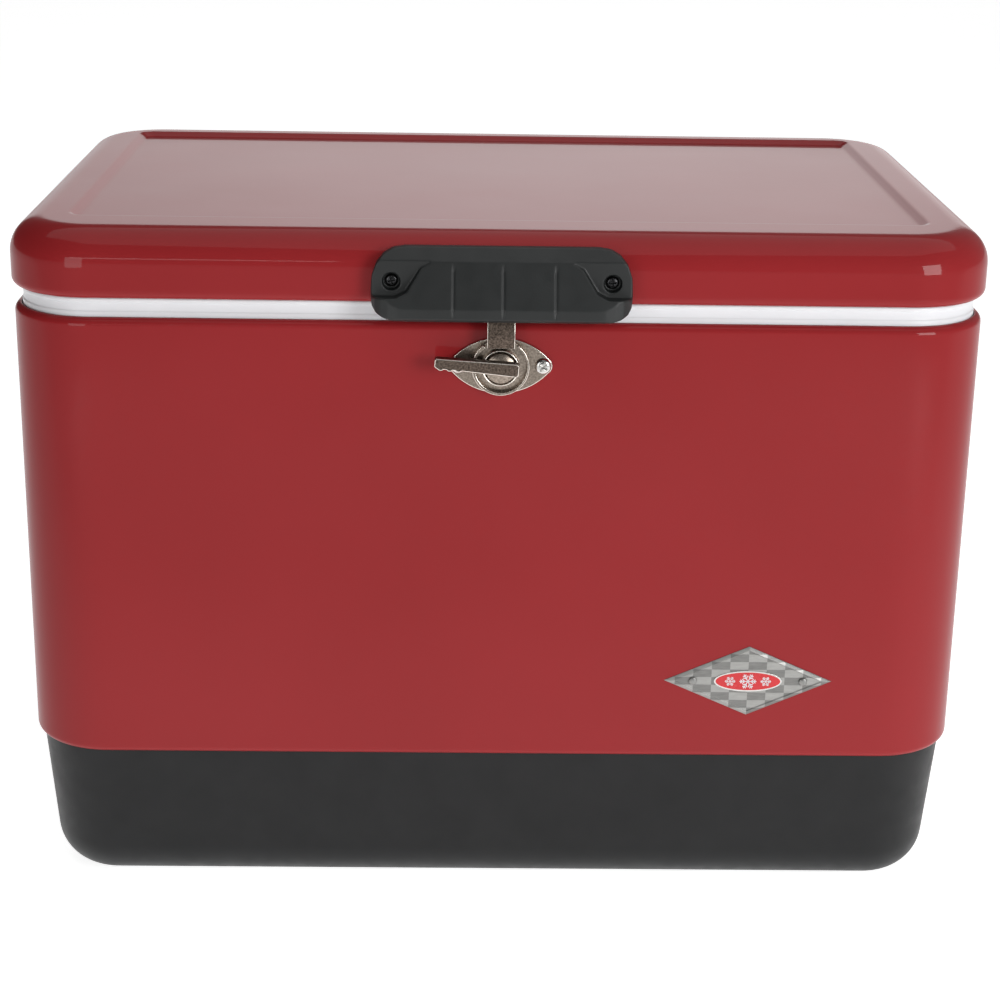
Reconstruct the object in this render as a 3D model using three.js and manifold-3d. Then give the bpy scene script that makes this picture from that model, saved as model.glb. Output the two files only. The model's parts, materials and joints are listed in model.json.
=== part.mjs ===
// A steel-belted picnic cooler chest: a foamed plastic tub in a painted steel belt and a black plastic
// base, with a hinged steel lid, a turn latch, a swinging handle at each end and a screw-capped drain.
// Millimetres, +Z up. The origin is the centre of the underside. The front, with the latch, faces -Y.
import * as THREE from "three";
import { mergeVertices } from "three/addons/utils/BufferGeometryUtils.js";
import Module from "manifold-3d";

const wasm = await Module();
wasm.setup();

// ---- Driving dimensions -------------------------------------------------------------------------

const GAP = 0.3; // left between pieces that touch
const FOAM_GAP = 0.4; // left round the foam cores
const SHEET = 0.8; // painted steel sheet
const PLASTIC = 2.5; // tub and lid liner walls
const CORNER_STEPS = 5; // facets in each rounded corner, seen from above

const LID = { length: 610, depth: 405, corner: 54, bottom: 401, top: 443, roll: 22, hem: 5 };
const RECESS = { endInset: 37, frontInset: 50, backInset: 32, corner: 10, depth: 3, draft: 4.5 };
const BELT = { length: 608, depth: 401, corner: 53, bottom: 100, top: 389, roll: 5 };
const BASE = { inset: 4.3, taper: 6, roll: 31, wall: 3, flangeTop: 112 };
const RIM = { inset: 5, top: 400.5, skirtBottom: 380 };
const CAVITY = { length: 534, depth: 327, corner: 30, draft: 12, floor: 62.5, fillet: 6 };
const PLUG = { clearance: 4, bottom: 393.5 };
const GASKET = { inner: 21, outer: 10, groove: 1 };

const FRONT = -BELT.depth / 2; // the belt's front, back and right faces
const BACK = BELT.depth / 2;
const RIGHT = BELT.length / 2;

const LATCH = { height: 362.7, cam: 17.6, hub: 11.6, screwSpan: 26, plateHalf: 33, plateRise: 17.6 };
const STRIKE = { width: 17, hookBottom: 375.4, thick: 1.5 };
const GRIP = { width: 158, top: 436.3, bottom: 394, lug: 9, bulge: 20.5, screwSpan: 66.5, screwZ: 416.5 };
const FLANK = { top: 43, middle: 53, bottom: 64, shoulderZ: 428, ledgeZ: 408 };
const BADGE = { x: 162.5, height: 154.5, width: 108, rise: 47.5, thick: 1.2, rivetSpan: 35.5 };
const HINGE = { x: 190, out: 5.5, height: 395, barrel: 4, pin: 1.9, width: 50, screwSpan: 16 };
const HANDLE = { height: 318, out: 10, rod: 3, eye: 5, arm: 60, drop: 60, bracket: 71 };
const SLEEVE = { radius: 9, length: 96 };
const DRAIN = { height: 76, tube: 9, bore: 7, innerSeat: 258, outerSeat: 301, end: 324 };
const SCREW = { shank: 1.8, hole: 2.4 };

// ---- Materials ----------------------------------------------------------------------------------

function material(color, roughness, metalness) {
  return new THREE.MeshStandardMaterial({ color, roughness, metalness });
}

const redEnamel = material(0xa52226, 0.22, 0.1);
const whitePlastic = material(0xe9ebee, 0.35, 0);
const blackPlastic = material(0x26282a, 0.55, 0);
const nickelSteel = material(0xb9b2a8, 0.25, 1);
const badgeSteel = material(0xb4b4b0, 0.35, 0.9);
const foam = material(0xe8d9a8, 0.9, 0);
const rubber = material(0x1c1c1c, 0.8, 0);

// ---- Shape helpers ------------------------------------------------------------------------------

// A rounded rectangle at height z, always with the same number of points, anticlockwise from above. Its
// centre may be moved back by `shift`.
function ring(length, depth, corner, z, shift = 0) {
  const points = [];
  for (let quarter = 0; quarter < 4; quarter++) {
    const cx = (length / 2 - corner) * (quarter === 0 || quarter === 3 ? 1 : -1);
    const cy = (depth / 2 - corner) * (quarter < 2 ? 1 : -1);
    for (let step = 0; step <= CORNER_STEPS; step++) {
      const a = ((quarter + step / CORNER_STEPS) * Math.PI) / 2;
      points.push(new THREE.Vector3(cx + corner * Math.cos(a), cy + shift + corner * Math.sin(a), z));
    }
  }
  return points;
}

// A ring inset from a piece's outline. A negative inset grows it.
function insetRing(outline, inset, z) {
  const length = outline.length - 2 * inset;
  return ring(length, outline.depth - 2 * inset, outline.corner - inset, z, outline.shift);
}

// Rings along a quarter round of the given radius, from angle `from` to `to` in degrees. An angle of 0 is
// the vertical face, 90 the top, and -90 the underside.
function rollRings(outline, faceInset, centreZ, radius, from, to, steps) {
  const rings = [];
  for (let step = 0; step <= steps; step++) {
    const a = THREE.MathUtils.degToRad(from + ((to - from) * step) / steps);
    rings.push(insetRing(outline, faceInset + radius * (1 - Math.cos(a)), centreZ + radius * Math.sin(a)));
  }
  return rings;
}

// The solid skinned over rings in order. Its ends are capped, or the last ring joins the first.
function loft(rings, closed = false) {
  const count = rings[0].length;
  const index = [];
  const spans = closed ? rings.length : rings.length - 1;
  for (let span = 0; span < spans; span++) {
    const a = span * count;
    const b = ((span + 1) % rings.length) * count;
    for (let k = 0; k < count; k++) {
      const next = (k + 1) % count;
      index.push(a + k, a + next, b + next, a + k, b + next, b + k);
    }
  }
  if (!closed) {
    const last = (rings.length - 1) * count;
    for (let k = 1; k < count - 1; k++) {
      index.push(0, k + 1, k);
      index.push(last, last + k, last + k + 1);
    }
  }
  const geometry = new THREE.BufferGeometry().setFromPoints(rings.flat());
  return geometry.setIndex(index);
}

// A geometry as a manifold-3d solid, and a solid as a geometry.
function solid(geometry) {
  const bare = geometry.index ? geometry.toNonIndexed() : geometry.clone();
  bare.deleteAttribute("normal");
  bare.deleteAttribute("uv");
  const merged = mergeVertices(bare, 1e-4);
  const mesh = new wasm.Mesh({
    numProp: 3,
    vertProperties: merged.attributes.position.array,
    triVerts: new Uint32Array(merged.index.array),
  });
  return new wasm.Manifold(mesh);
}

function geometryOf(manifold) {
  const mesh = manifold.getMesh();
  const geometry = new THREE.BufferGeometry();
  geometry.setAttribute("position", new THREE.BufferAttribute(new Float32Array(mesh.vertProperties), 3));
  return geometry.setIndex(new THREE.BufferAttribute(new Uint32Array(mesh.triVerts), 1));
}

function join(...geometries) {
  return geometryOf(geometries.map(solid).reduce((a, b) => a.add(b)));
}

function cut(geometry, ...tools) {
  return geometryOf(tools.map(solid).reduce((a, b) => a.subtract(b), solid(geometry)));
}

function common(a, b) {
  return geometryOf(solid(a).intersect(solid(b)));
}

// A shape drawn in X and Y, as a plate between two heights in Z.
function plate(shape, z0, z1, curveSegments = 8) {
  const geometry = new THREE.ExtrudeGeometry(shape, { depth: z1 - z0, bevelEnabled: false, curveSegments });
  return geometry.translate(0, 0, z0);
}

// A polygon drawn in Y and Z, as [y, z] pairs, extruded along X between x0 and x1.
function sideExtrusion(points, x0, x1) {
  const shape = new THREE.Shape(points.map(([y, z]) => new THREE.Vector2(y, z)));
  const geometry = plate(shape, x0, x1);
  const axes = new THREE.Matrix4();
  axes.makeBasis(new THREE.Vector3(0, 1, 0), new THREE.Vector3(0, 0, 1), new THREE.Vector3(1, 0, 0));
  return geometry.applyMatrix4(axes);
}

function box(x0, x1, y0, y1, z0, z1) {
  const geometry = new THREE.BoxGeometry(x1 - x0, y1 - y0, z1 - z0);
  return geometry.translate((x0 + x1) / 2, (y0 + y1) / 2, (z0 + z1) / 2);
}

// A cylinder from a point along a direction.
function rod(start, direction, radius, length, sides = 8) {
  const geometry = new THREE.CylinderGeometry(radius, radius, length, sides);
  const turn = new THREE.Quaternion().setFromUnitVectors(new THREE.Vector3(0, 1, 0), direction);
  geometry.translate(0, length / 2, 0).applyQuaternion(turn);
  return geometry.translate(start.x, start.y, start.z);
}

// A cylinder standing on z0 at (x, y), up to z1.
function post(x, y, z0, z1, radius, sides = 8) {
  return rod(new THREE.Vector3(x, y, z0), new THREE.Vector3(0, 0, 1), radius, z1 - z0, sides);
}

// A turned piece standing along Z, from [radius, z] pairs that go up its outside.
function turned(profile, sides) {
  const geometry = new THREE.LatheGeometry(profile.map(([r, z]) => new THREE.Vector2(r, z)), sides);
  return geometry.rotateX(Math.PI / 2);
}

// A turned tube: out along the bottom, up the outside, and down the bore.
function tube(inner, outer, z0, z1, sides) {
  return turned([[inner, z0], [outer, z0], [outer, z1], [inner, z1], [inner, z0]], sides);
}

function roundedRectangle(width, height, radius) {
  const shape = new THREE.Shape();
  const x = width / 2 - radius;
  const y = height / 2 - radius;
  shape.absarc(x, y, radius, 0, Math.PI / 2);
  shape.absarc(-x, y, radius, Math.PI / 2, Math.PI);
  shape.absarc(-x, -y, radius, Math.PI, 1.5 * Math.PI);
  shape.absarc(x, -y, radius, 1.5 * Math.PI, 2 * Math.PI);
  return shape;
}

function mesh(name, geometry, look) {
  const made = new THREE.Mesh(geometry, look);
  made.name = name;
  return made;
}

const OUTWARD = {
  front: new THREE.Vector3(0, -1, 0),
  back: new THREE.Vector3(0, 1, 0),
  right: new THREE.Vector3(1, 0, 0),
  left: new THREE.Vector3(-1, 0, 0),
};

// A group standing on a face: its X runs along the face, its Y is up, and its Z points out of the face.
function station(side, x, y, z) {
  const up = new THREE.Vector3(0, 0, 1);
  const along = new THREE.Vector3().crossVectors(up, OUTWARD[side]);
  const group = new THREE.Group();
  group.quaternion.setFromRotationMatrix(new THREE.Matrix4().makeBasis(along, up, OUTWARD[side]));
  group.position.set(x, y, z);
  return group;
}

function at(object, x, y, z) {
  object.position.set(x, y, z);
  return object;
}

// A pan-head screw whose head sits at z = 0, facing +Z, with its shank below.
function panScrew(name, head, length) {
  const rise = head * 0.5;
  const profile = [
    [0, -length],
    [SCREW.shank, -length],
    [SCREW.shank, 0],
    [head, 0],
    [head * 0.75, rise],
    [0, rise],
  ];
  return mesh(name, turned(profile, 8), nickelSteel);
}

// ---- Where the fasteners go through the sheet and foam --------------------------------------------

function inward(side) {
  return OUTWARD[side].clone().negate();
}

// A drill of the given radius and depth, entering a face of the body from just outside it.
function drill(side, x, y, z, radius, depth, sides = 6) {
  const start = new THREE.Vector3(x, y, z).addScaledVector(OUTWARD[side], 4);
  return rod(start, inward(side), radius, depth + 4, sides);
}

const SHANK = { latch: 14, badge: 4, hinge: 14, handle: 16, grip: 16, strike: 5 };

const beltHoles = [];
for (const s of [-1, 1]) {
  beltHoles.push({ side: "front", x: s * LATCH.screwSpan, y: FRONT, z: LATCH.height, depth: SHANK.latch });
  const rivetX = BADGE.x + s * BADGE.rivetSpan;
  beltHoles.push({ side: "front", x: rivetX, y: FRONT, z: BADGE.height, depth: SHANK.badge });
  for (const t of [-1, 1]) {
    const hingeX = s * HINGE.x + t * HINGE.screwSpan;
    beltHoles.push({ side: "back", x: hingeX, y: BACK, z: HINGE.height - 21, depth: SHANK.hinge });
    for (const up of [-15, 15]) {
      const side = s > 0 ? "right" : "left";
      const y = t * HANDLE.bracket;
      beltHoles.push({ side, x: s * RIGHT, y, z: HANDLE.height + up, depth: SHANK.handle });
    }
  }
}

const lidHoles = [];
for (const s of [-1, 1]) {
  const front = -LID.depth / 2;
  lidHoles.push({ side: "front", x: s * GRIP.screwSpan, y: front, z: GRIP.screwZ, depth: SHANK.grip });
  lidHoles.push({ side: "front", x: s * 5, y: front, z: 413, depth: SHANK.strike });
  for (const t of [-1, 1]) {
    const hingeX = s * HINGE.x + t * HINGE.screwSpan;
    lidHoles.push({ side: "back", x: hingeX, y: LID.depth / 2, z: HINGE.height + 18, depth: SHANK.hinge });
  }
}

function drillAll(holes) {
  return holes.map((h) => drill(h.side, h.x, h.y, h.z, SCREW.hole, h.depth + 1));
}

const latchPocket = drill("front", 0, FRONT, LATCH.height, 7, 4.5, 12);

function drainRod(x0, x1, radius, sides = 20) {
  return rod(new THREE.Vector3(x0, 0, DRAIN.height), OUTWARD.right, radius, x1 - x0, sides);
}

// ---- The body -----------------------------------------------------------------------------------

function beltGeometry() {
  const outer = [
    ...rollRings(BELT, 0, BELT.bottom + BELT.roll, BELT.roll, -70, 0, 2),
    ...rollRings(BELT, 0, BELT.top - BELT.roll, BELT.roll, 0, 82, 3),
  ];
  const inner = [
    ...rollRings(BELT, SHEET, BELT.top - BELT.roll, BELT.roll - SHEET, 82, 0, 3),
    ...rollRings(BELT, SHEET, BELT.bottom + BELT.roll, BELT.roll - SHEET, 0, -70, 2),
  ];
  return cut(loft([...outer, ...inner], true), ...drillAll(beltHoles), latchPocket);
}

const BASE_OUTLINE = {
  length: BELT.length - 2 * BASE.inset,
  depth: BELT.depth - 2 * BASE.inset,
  corner: BELT.corner - BASE.inset,
};

// The base's bottom roll and tapered side, `wall` inside its outer surface.
function baseSideRings(wall, steps) {
  const rings = [];
  for (let step = 0; step <= steps; step++) {
    const a = THREE.MathUtils.degToRad(-90 + (85 * step) / steps);
    const radius = BASE.roll - wall;
    const inset = BASE.taper + wall + radius * (1 - Math.cos(a));
    rings.push(insetRing(BASE_OUTLINE, inset, BASE.roll + radius * Math.sin(a)));
  }
  return rings;
}

function baseGeometry() {
  const neck = BELT.bottom - 1;
  const shell = loft([
    ...baseSideRings(0, 5),
    insetRing(BASE_OUTLINE, 0, neck),
    insetRing(BASE_OUTLINE, 0, BASE.flangeTop),
    insetRing(BASE_OUTLINE, BASE.wall, BASE.flangeTop),
    insetRing(BASE_OUTLINE, BASE.wall, neck),
    ...baseSideRings(BASE.wall, 3).reverse(),
  ]);
  const pockets = [-1, 1].map((s) => {
    const pocket = loft([ring(200, 290, 24, -1), ring(200, 290, 24, 1.2)]);
    return pocket.translate(s * 135, 0, 0);
  });
  const boss = drainRod(294.5, DRAIN.outerSeat, 17);
  return cut(join(shell, boss), ...pockets, drainRod(280, 310, DRAIN.tube + GAP));
}

function tubOutline(wall) {
  return {
    length: CAVITY.length + 2 * wall,
    depth: CAVITY.depth + 2 * wall,
    corner: CAVITY.corner + wall,
  };
}

// The tub's wall rings, `wall` outside the inner surface, from the floor up to `top`.
function tubWallRings(wall, top) {
  const outline = tubOutline(wall);
  const radius = CAVITY.fillet + wall;
  const floor = CAVITY.floor - wall;
  return [
    insetRing(outline, CAVITY.draft + radius, floor),
    insetRing(outline, CAVITY.draft + radius * 0.3, floor + radius * 0.3),
    insetRing(outline, CAVITY.draft, floor + radius),
    insetRing(outline, 0, top),
  ];
}

function tubGeometry() {
  const rim = {
    length: BELT.length - 2 * RIM.inset,
    depth: BELT.depth - 2 * RIM.inset,
    corner: BELT.corner - RIM.inset,
  };
  const shell = loft([
    ...tubWallRings(PLASTIC, RIM.top - PLASTIC),
    insetRing(rim, PLASTIC, RIM.top - PLASTIC),
    insetRing(rim, PLASTIC, RIM.skirtBottom),
    insetRing(rim, 0, RIM.skirtBottom),
    insetRing(rim, 0, RIM.top - 1.2),
    insetRing(rim, 1.2, RIM.top),
    insetRing(tubOutline(0), -2, RIM.top),
    ...tubWallRings(0, RIM.top - 2).reverse(),
  ]);
  const boss = drainRod(256.8, 263, 15.5);
  return cut(join(shell, boss), drainRod(240, DRAIN.innerSeat, 13), drainRod(240, 280, DRAIN.tube + GAP));
}

function bodyFoamGeometry() {
  const skirtInset = RIM.inset + PLASTIC + FOAM_GAP;
  const top = RIM.top - PLASTIC - FOAM_GAP;
  const flangeInset = BASE.wall + 2 * FOAM_GAP;
  const shell = loft([
    ...baseSideRings(BASE.wall + 2 * FOAM_GAP, 3),
    insetRing(BASE_OUTLINE, flangeInset, BELT.bottom - 1),
    insetRing(BASE_OUTLINE, flangeInset, BASE.flangeTop + FOAM_GAP),
    insetRing(BELT, SHEET + FOAM_GAP, BASE.flangeTop + FOAM_GAP),
    insetRing(BELT, SHEET + FOAM_GAP, RIM.skirtBottom - FOAM_GAP),
    insetRing(BELT, skirtInset, RIM.skirtBottom - FOAM_GAP),
    insetRing(BELT, skirtInset, top),
    ...tubWallRings(PLASTIC + FOAM_GAP, top).reverse(),
  ]);
  const seats = [drainRod(240, 263.6, 16.2), drainRod(293, 310, 17.8)];
  return cut(shell, ...drillAll(beltHoles), latchPocket, drainRod(240, 310, DRAIN.tube + 0.8), ...seats);
}

// ---- The drain ----------------------------------------------------------------------------------

// Drain pieces are turned about the drain's axis, with Z of the group along +X of the chest.
function drainGroup() {
  const group = station("right", 0, 0, DRAIN.height);
  const flange = DRAIN.innerSeat - GAP;
  const tubeProfile = [
    [DRAIN.bore, 253.5],
    [12, 253.5],
    [12.7, 254.5],
    [12.7, flange],
    [DRAIN.tube, flange],
    [DRAIN.tube, DRAIN.end],
    [DRAIN.bore, DRAIN.end],
    [DRAIN.bore, 253.5],
  ];
  group.add(mesh("drain_tube", turned(tubeProfile, 18), whitePlastic));
  const seat = DRAIN.outerSeat + GAP;
  group.add(mesh("drain_washer", tube(DRAIN.tube + GAP, 15, seat, seat + 1.8, 20), rubber));
  const nutHex = new THREE.CylinderGeometry(16.5, 16.5, 5.5, 6).rotateX(Math.PI / 2);
  nutHex.translate(0, 0, seat + 2.1 + 2.75);
  const nutBore = post(0, 0, seat, seat + 12, DRAIN.tube + GAP, 20);
  group.add(mesh("drain_nut", cut(nutHex, nutBore), whitePlastic));
  return group;
}

function drainCapGroup() {
  const group = station("right", 0, 0, DRAIN.height);
  const mouth = 310.2;
  const roof = DRAIN.end + 1.6;
  const capProfile = [
    [DRAIN.tube + GAP, mouth],
    [12.8, mouth],
    [13.4, mouth + 1],
    [13.4, roof + 1],
    [12, roof + 2.6],
    [0, roof + 2.6],
    [0, roof],
    [DRAIN.tube + GAP, roof],
    [DRAIN.tube + GAP, mouth],
  ];
  const ribs = [];
  const ribCount = 6;
  for (let k = 0; k < ribCount; k++) {
    const a = (2 * Math.PI * k) / ribCount;
    ribs.push(post(13.4 * Math.cos(a), 13.4 * Math.sin(a), mouth + 2, roof, 0.9, 6));
  }
  group.add(mesh("drain_cap", join(turned(capProfile, 18), ...ribs), whitePlastic));
  const low = DRAIN.end + GAP;
  const seal = turned([[0, low], [8.8, low], [8.8, roof - GAP], [0, roof - GAP]], 16);
  group.add(mesh("drain_cap_seal", seal, rubber));
  return group;
}

// ---- The lid ------------------------------------------------------------------------------------

const RECESS_OUTLINE = {
  length: LID.length - 2 * RECESS.endInset,
  depth: LID.depth - RECESS.frontInset - RECESS.backInset,
  corner: RECESS.corner,
  shift: (RECESS.frontInset - RECESS.backInset) / 2,
};

// The pressed top, `under` below its outer face, from the roll to the recessed panel.
function lidTopRings(under) {
  return [
    insetRing(RECESS_OUTLINE, -under * 0.5, LID.top - under),
    insetRing(RECESS_OUTLINE, RECESS.draft - under * 0.5, LID.top - RECESS.depth - under),
  ];
}

function lidSkinGeometry() {
  const innerHem = LID.hem - SHEET;
  const innerRoll = LID.roll - SHEET;
  const hemLip = 7;
  const outer = [
    insetRing(LID, hemLip, LID.bottom),
    ...rollRings(LID, 0, LID.bottom + LID.hem, LID.hem, -90, 0, 2),
    ...rollRings(LID, 0, LID.top - LID.roll, LID.roll, 0, 90, 5),
    ...lidTopRings(0),
  ];
  const inner = [
    ...lidTopRings(SHEET).reverse(),
    ...rollRings(LID, SHEET, LID.top - LID.roll, innerRoll, 90, 0, 4),
    ...rollRings(LID, SHEET, LID.bottom + LID.hem, innerHem, 0, -90, 2),
    insetRing(LID, hemLip, LID.bottom + SHEET),
  ];
  return cut(loft([...inner, ...outer]), ...drillAll(lidHoles));
}

const PLUG_OUTLINE = {
  length: CAVITY.length - 2 * PLUG.clearance,
  depth: CAVITY.depth - 2 * PLUG.clearance,
  corner: CAVITY.corner - PLUG.clearance,
};
const FLANGE_BOTTOM = LID.bottom + SHEET + GAP;

// The lid liner's face, `up` above its underside. It has a groove for the gasket and a plug for the tub.
function lidLinerRings(up) {
  const grooveTop = FLANGE_BOTTOM + 2.8 + up;
  const outer = GASKET.outer - GASKET.groove - up;
  const inner = GASKET.inner + GASKET.groove + up;
  return [
    insetRing(LID, outer, FLANGE_BOTTOM + up),
    insetRing(LID, outer, grooveTop),
    insetRing(LID, inner, grooveTop),
    insetRing(LID, inner, FLANGE_BOTTOM + up),
    insetRing(PLUG_OUTLINE, up, FLANGE_BOTTOM + up),
    insetRing(PLUG_OUTLINE, 1 + up, PLUG.bottom + 2.5 + up * 0.4),
    insetRing(PLUG_OUTLINE, 4 + up * 0.6, PLUG.bottom + up),
  ];
}

function lidLinerGeometry() {
  const edge = 2.2;
  return loft([
    ...lidLinerRings(0).reverse(),
    insetRing(LID, 6, FLANGE_BOTTOM),
    insetRing(LID, edge, FLANGE_BOTTOM + 2.2),
    insetRing(LID, edge, FLANGE_BOTTOM + PLASTIC),
    ...lidLinerRings(PLASTIC),
  ]);
}

function lidFoamGeometry() {
  const clear = SHEET + 2 * FOAM_GAP;
  const under = PLASTIC + FOAM_GAP;
  const shell = loft([
    ...lidLinerRings(under).reverse(),
    insetRing(LID, clear, FLANGE_BOTTOM + under),
    ...rollRings(LID, clear, LID.top - LID.roll, LID.roll - clear, 0, 90, 3),
    ...lidTopRings(clear),
  ]);
  return cut(shell, ...drillAll(lidHoles));
}

function gasketGeometry() {
  const bottom = RIM.top + GAP;
  const top = FLANGE_BOTTOM + 2.8 - GAP;
  return loft(
    [
      insetRing(LID, GASKET.outer + 1, bottom),
      insetRing(LID, GASKET.outer, bottom + 1),
      insetRing(LID, GASKET.outer, top),
      insetRing(LID, GASKET.inner, top),
      insetRing(LID, GASKET.inner, bottom + 1),
      insetRing(LID, GASKET.inner - 1, bottom),
    ],
    true,
  );
}

// ---- The lid grip -------------------------------------------------------------------------------

// The grip's outline from the front: wide rounded shoulders over a tighter lower edge.
function gripOutline() {
  const half = GRIP.width / 2;
  const shoulder = 21;
  const foot = 12;
  const shape = new THREE.Shape();
  shape.moveTo(-half, GRIP.bottom + foot);
  shape.quadraticCurveTo(-half, GRIP.bottom, -half + 1.8 * foot, GRIP.bottom);
  shape.lineTo(half - 1.8 * foot, GRIP.bottom);
  shape.quadraticCurveTo(half, GRIP.bottom, half, GRIP.bottom + foot);
  shape.lineTo(half, GRIP.top - 1.2 * shoulder);
  shape.quadraticCurveTo(half, GRIP.top, half - shoulder, GRIP.top);
  shape.lineTo(-half + shoulder, GRIP.top);
  shape.quadraticCurveTo(-half, GRIP.top, -half, GRIP.top - 1.2 * shoulder);
  return shape;
}

// The grip's outline from above: its front corners are rounded back towards the lid.
function gripPlan() {
  const half = GRIP.width / 2;
  const front = GRIP.bulge + GAP;
  const round = 24;
  const shape = new THREE.Shape();
  shape.moveTo(-half, -14);
  shape.lineTo(half, -14);
  shape.lineTo(half, 5);
  shape.quadraticCurveTo(half, front, half - round, front);
  shape.lineTo(-half + round, front);
  shape.quadraticCurveTo(-half, front, -half, 5);
  return shape;
}

// The space in front of a screw lug, bounded by the S-shaped flank of the pull.
function lugCut(s) {
  const { shoulderZ, ledgeZ } = FLANK;
  const beyond = s * GRIP.width;
  const shape = new THREE.Shape();
  shape.moveTo(s * FLANK.top, GRIP.top + 14);
  shape.lineTo(s * FLANK.top, shoulderZ);
  shape.bezierCurveTo(s * FLANK.middle, shoulderZ, s * FLANK.middle, ledgeZ, s * FLANK.bottom, ledgeZ);
  shape.lineTo(beyond, ledgeZ);
  shape.lineTo(beyond, GRIP.top + 14);
  return plate(shape, GRIP.lug, 40, 4);
}

// The finger hollow: deep behind the middle of the pull and shallow behind its flanks.
function gripHollow() {
  const low = GRIP.bottom - 5;
  const lip = [GRIP.bottom + 8, GRIP.bulge - 3.6];
  const deep = [[low, -20], [low, GRIP.bulge - 5], lip, [421, GRIP.lug], [424, 5], [424, -20]];
  const shallow = [[low, -20], [low, GRIP.bulge - 5], lip, [405, GRIP.bulge - 5], [405, -20]];
  return join(sideExtrusion(deep, -40, 40), sideExtrusion(shallow, -54, 54));
}

function gripGeometry() {
  const crease = 429;
  const side = sideExtrusion(
    [
      [GRIP.bottom, -1],
      [GRIP.bottom, GRIP.bulge - 3],
      [GRIP.bottom + 2, GRIP.bulge],
      [GRIP.bottom + 8, GRIP.bulge],
      [crease, GRIP.lug + 0.5],
      [GRIP.top, 1],
      [GRIP.top + 2, -12],
    ],
    -GRIP.width / 2 - 1,
    GRIP.width / 2 + 1,
  );
  const plan = plate(gripPlan(), -GRIP.top - 10, -GRIP.bottom + 10, 6).rotateX(Math.PI / 2);
  const body = common(common(side, plate(gripOutline(), -14, 40, 5)), plan);
  const bores = [-1, 1].flatMap((s) => {
    const x = s * GRIP.screwSpan;
    return [post(x, GRIP.screwZ, 4, 24, 5.5, 16), post(x, GRIP.screwZ, -10, 10, SCREW.hole)];
  });
  // The lid's own roll, a little larger, is what the back of the grip is cut to.
  const clear = 0.5;
  const roll = LID.roll + clear;
  const lidForm = loft([
    insetRing(LID, -clear, GRIP.bottom - 4),
    insetRing(LID, -clear, LID.top - LID.roll),
    ...rollRings(LID, -clear, LID.top - LID.roll, roll, 0, 90, 8).slice(1),
  ]);
  // Into the grip's own frame, whose origin is on the lid's front face.
  lidForm.translate(0, LID.depth / 2, 0).rotateX(-Math.PI / 2);
  return cut(body, lugCut(-1), lugCut(1), gripHollow(), ...bores, lidForm);
}

function gripGroup() {
  const group = station("front", 0, -LID.depth / 2, 0);
  group.add(mesh("lid_grip", gripGeometry(), blackPlastic));
  for (const s of [-1, 1]) {
    const name = s < 0 ? "lid_grip_screw_left" : "lid_grip_screw_right";
    group.add(at(panScrew(name, 4, SHANK.grip), s * GRIP.screwSpan, GRIP.screwZ, 4 + GAP));
  }
  return group;
}

// ---- The latch ----------------------------------------------------------------------------------

// The strike hangs from the lid inside the grip, and its hook drops into the cam's mouth.
function strikeGroup() {
  const group = station("front", 0, FRONT, 0);
  const t = STRIKE.thick;
  const face = 2.4;
  const half = STRIKE.width / 2;
  const strap = sideExtrusion(
    [
      [421, face],
      [421, face + t],
      [405, face + t],
      [396, 11 + t],
      [382, 11 + t],
      [STRIKE.hookBottom, 9 + t],
      [STRIKE.hookBottom, 9],
      [382, 11],
      [395.2, 11],
      [404.2, face],
    ],
    -half,
    half,
  );
  const hook = box(-5, 5, STRIKE.hookBottom, STRIKE.hookBottom + t, 4.6, 9.6);
  const holes = [-5, 5].map((x) => post(x, 413, 0, 9, SCREW.hole));
  group.add(mesh("latch_strike", cut(join(strap, hook), ...holes), nickelSteel));
  for (const [name, x] of [["strike_rivet_left", -5], ["strike_rivet_right", 5]]) {
    group.add(at(panScrew(name, 3.4, SHANK.strike), x, 413, face + t + GAP));
  }
  return group;
}

function latchPlateShape() {
  const radius = (LATCH.plateHalf ** 2 + LATCH.plateRise ** 2) / (2 * LATCH.plateRise);
  const drop = radius - LATCH.plateRise;
  const reach = Math.asin((LATCH.plateHalf - 2) / radius);
  const shape = new THREE.Shape();
  shape.absarc(0, -drop, radius, Math.PI / 2 - reach, Math.PI / 2 + reach);
  shape.absarc(0, drop, radius, 1.5 * Math.PI - reach, 1.5 * Math.PI + reach);
  return shape;
}

function latchFixedGroup() {
  const group = station("front", 0, FRONT, LATCH.height);
  const holes = [-1, 1].map((s) => post(s * LATCH.screwSpan, 0, -1, 5, SCREW.hole));
  const pivotHole = post(0, 0, -1, 5, 3.5, 16);
  const lens = cut(plate(latchPlateShape(), GAP, GAP + 1.5, 7), ...holes, pivotHole);
  group.add(mesh("latch_plate", lens, nickelSteel));
  for (const s of [-1, 1]) {
    const name = s < 0 ? "latch_screw_left" : "latch_screw_right";
    group.add(at(panScrew(name, 4.2, SHANK.latch), s * LATCH.screwSpan, 0, 1.8 + GAP));
  }
  return group;
}

// The cam's wall: round outside, a spiral inside that tightens as it turns, open at the top.
function camWallShape() {
  const mouth = THREE.MathUtils.degToRad(37);
  const start = Math.PI / 2 + mouth;
  const sweep = 2 * Math.PI - 2 * mouth;
  const steps = 14;
  const points = [];
  for (let step = 0; step <= steps; step++) {
    const a = start + (sweep * step) / steps;
    points.push(new THREE.Vector2(LATCH.cam * Math.cos(a), LATCH.cam * Math.sin(a)));
  }
  for (let step = steps; step >= 0; step--) {
    const a = start + (sweep * step) / steps;
    const radius = 15.3 + (1.1 * step) / steps;
    points.push(new THREE.Vector2(radius * Math.cos(a), radius * Math.sin(a)));
  }
  return new THREE.Shape(points);
}

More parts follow.
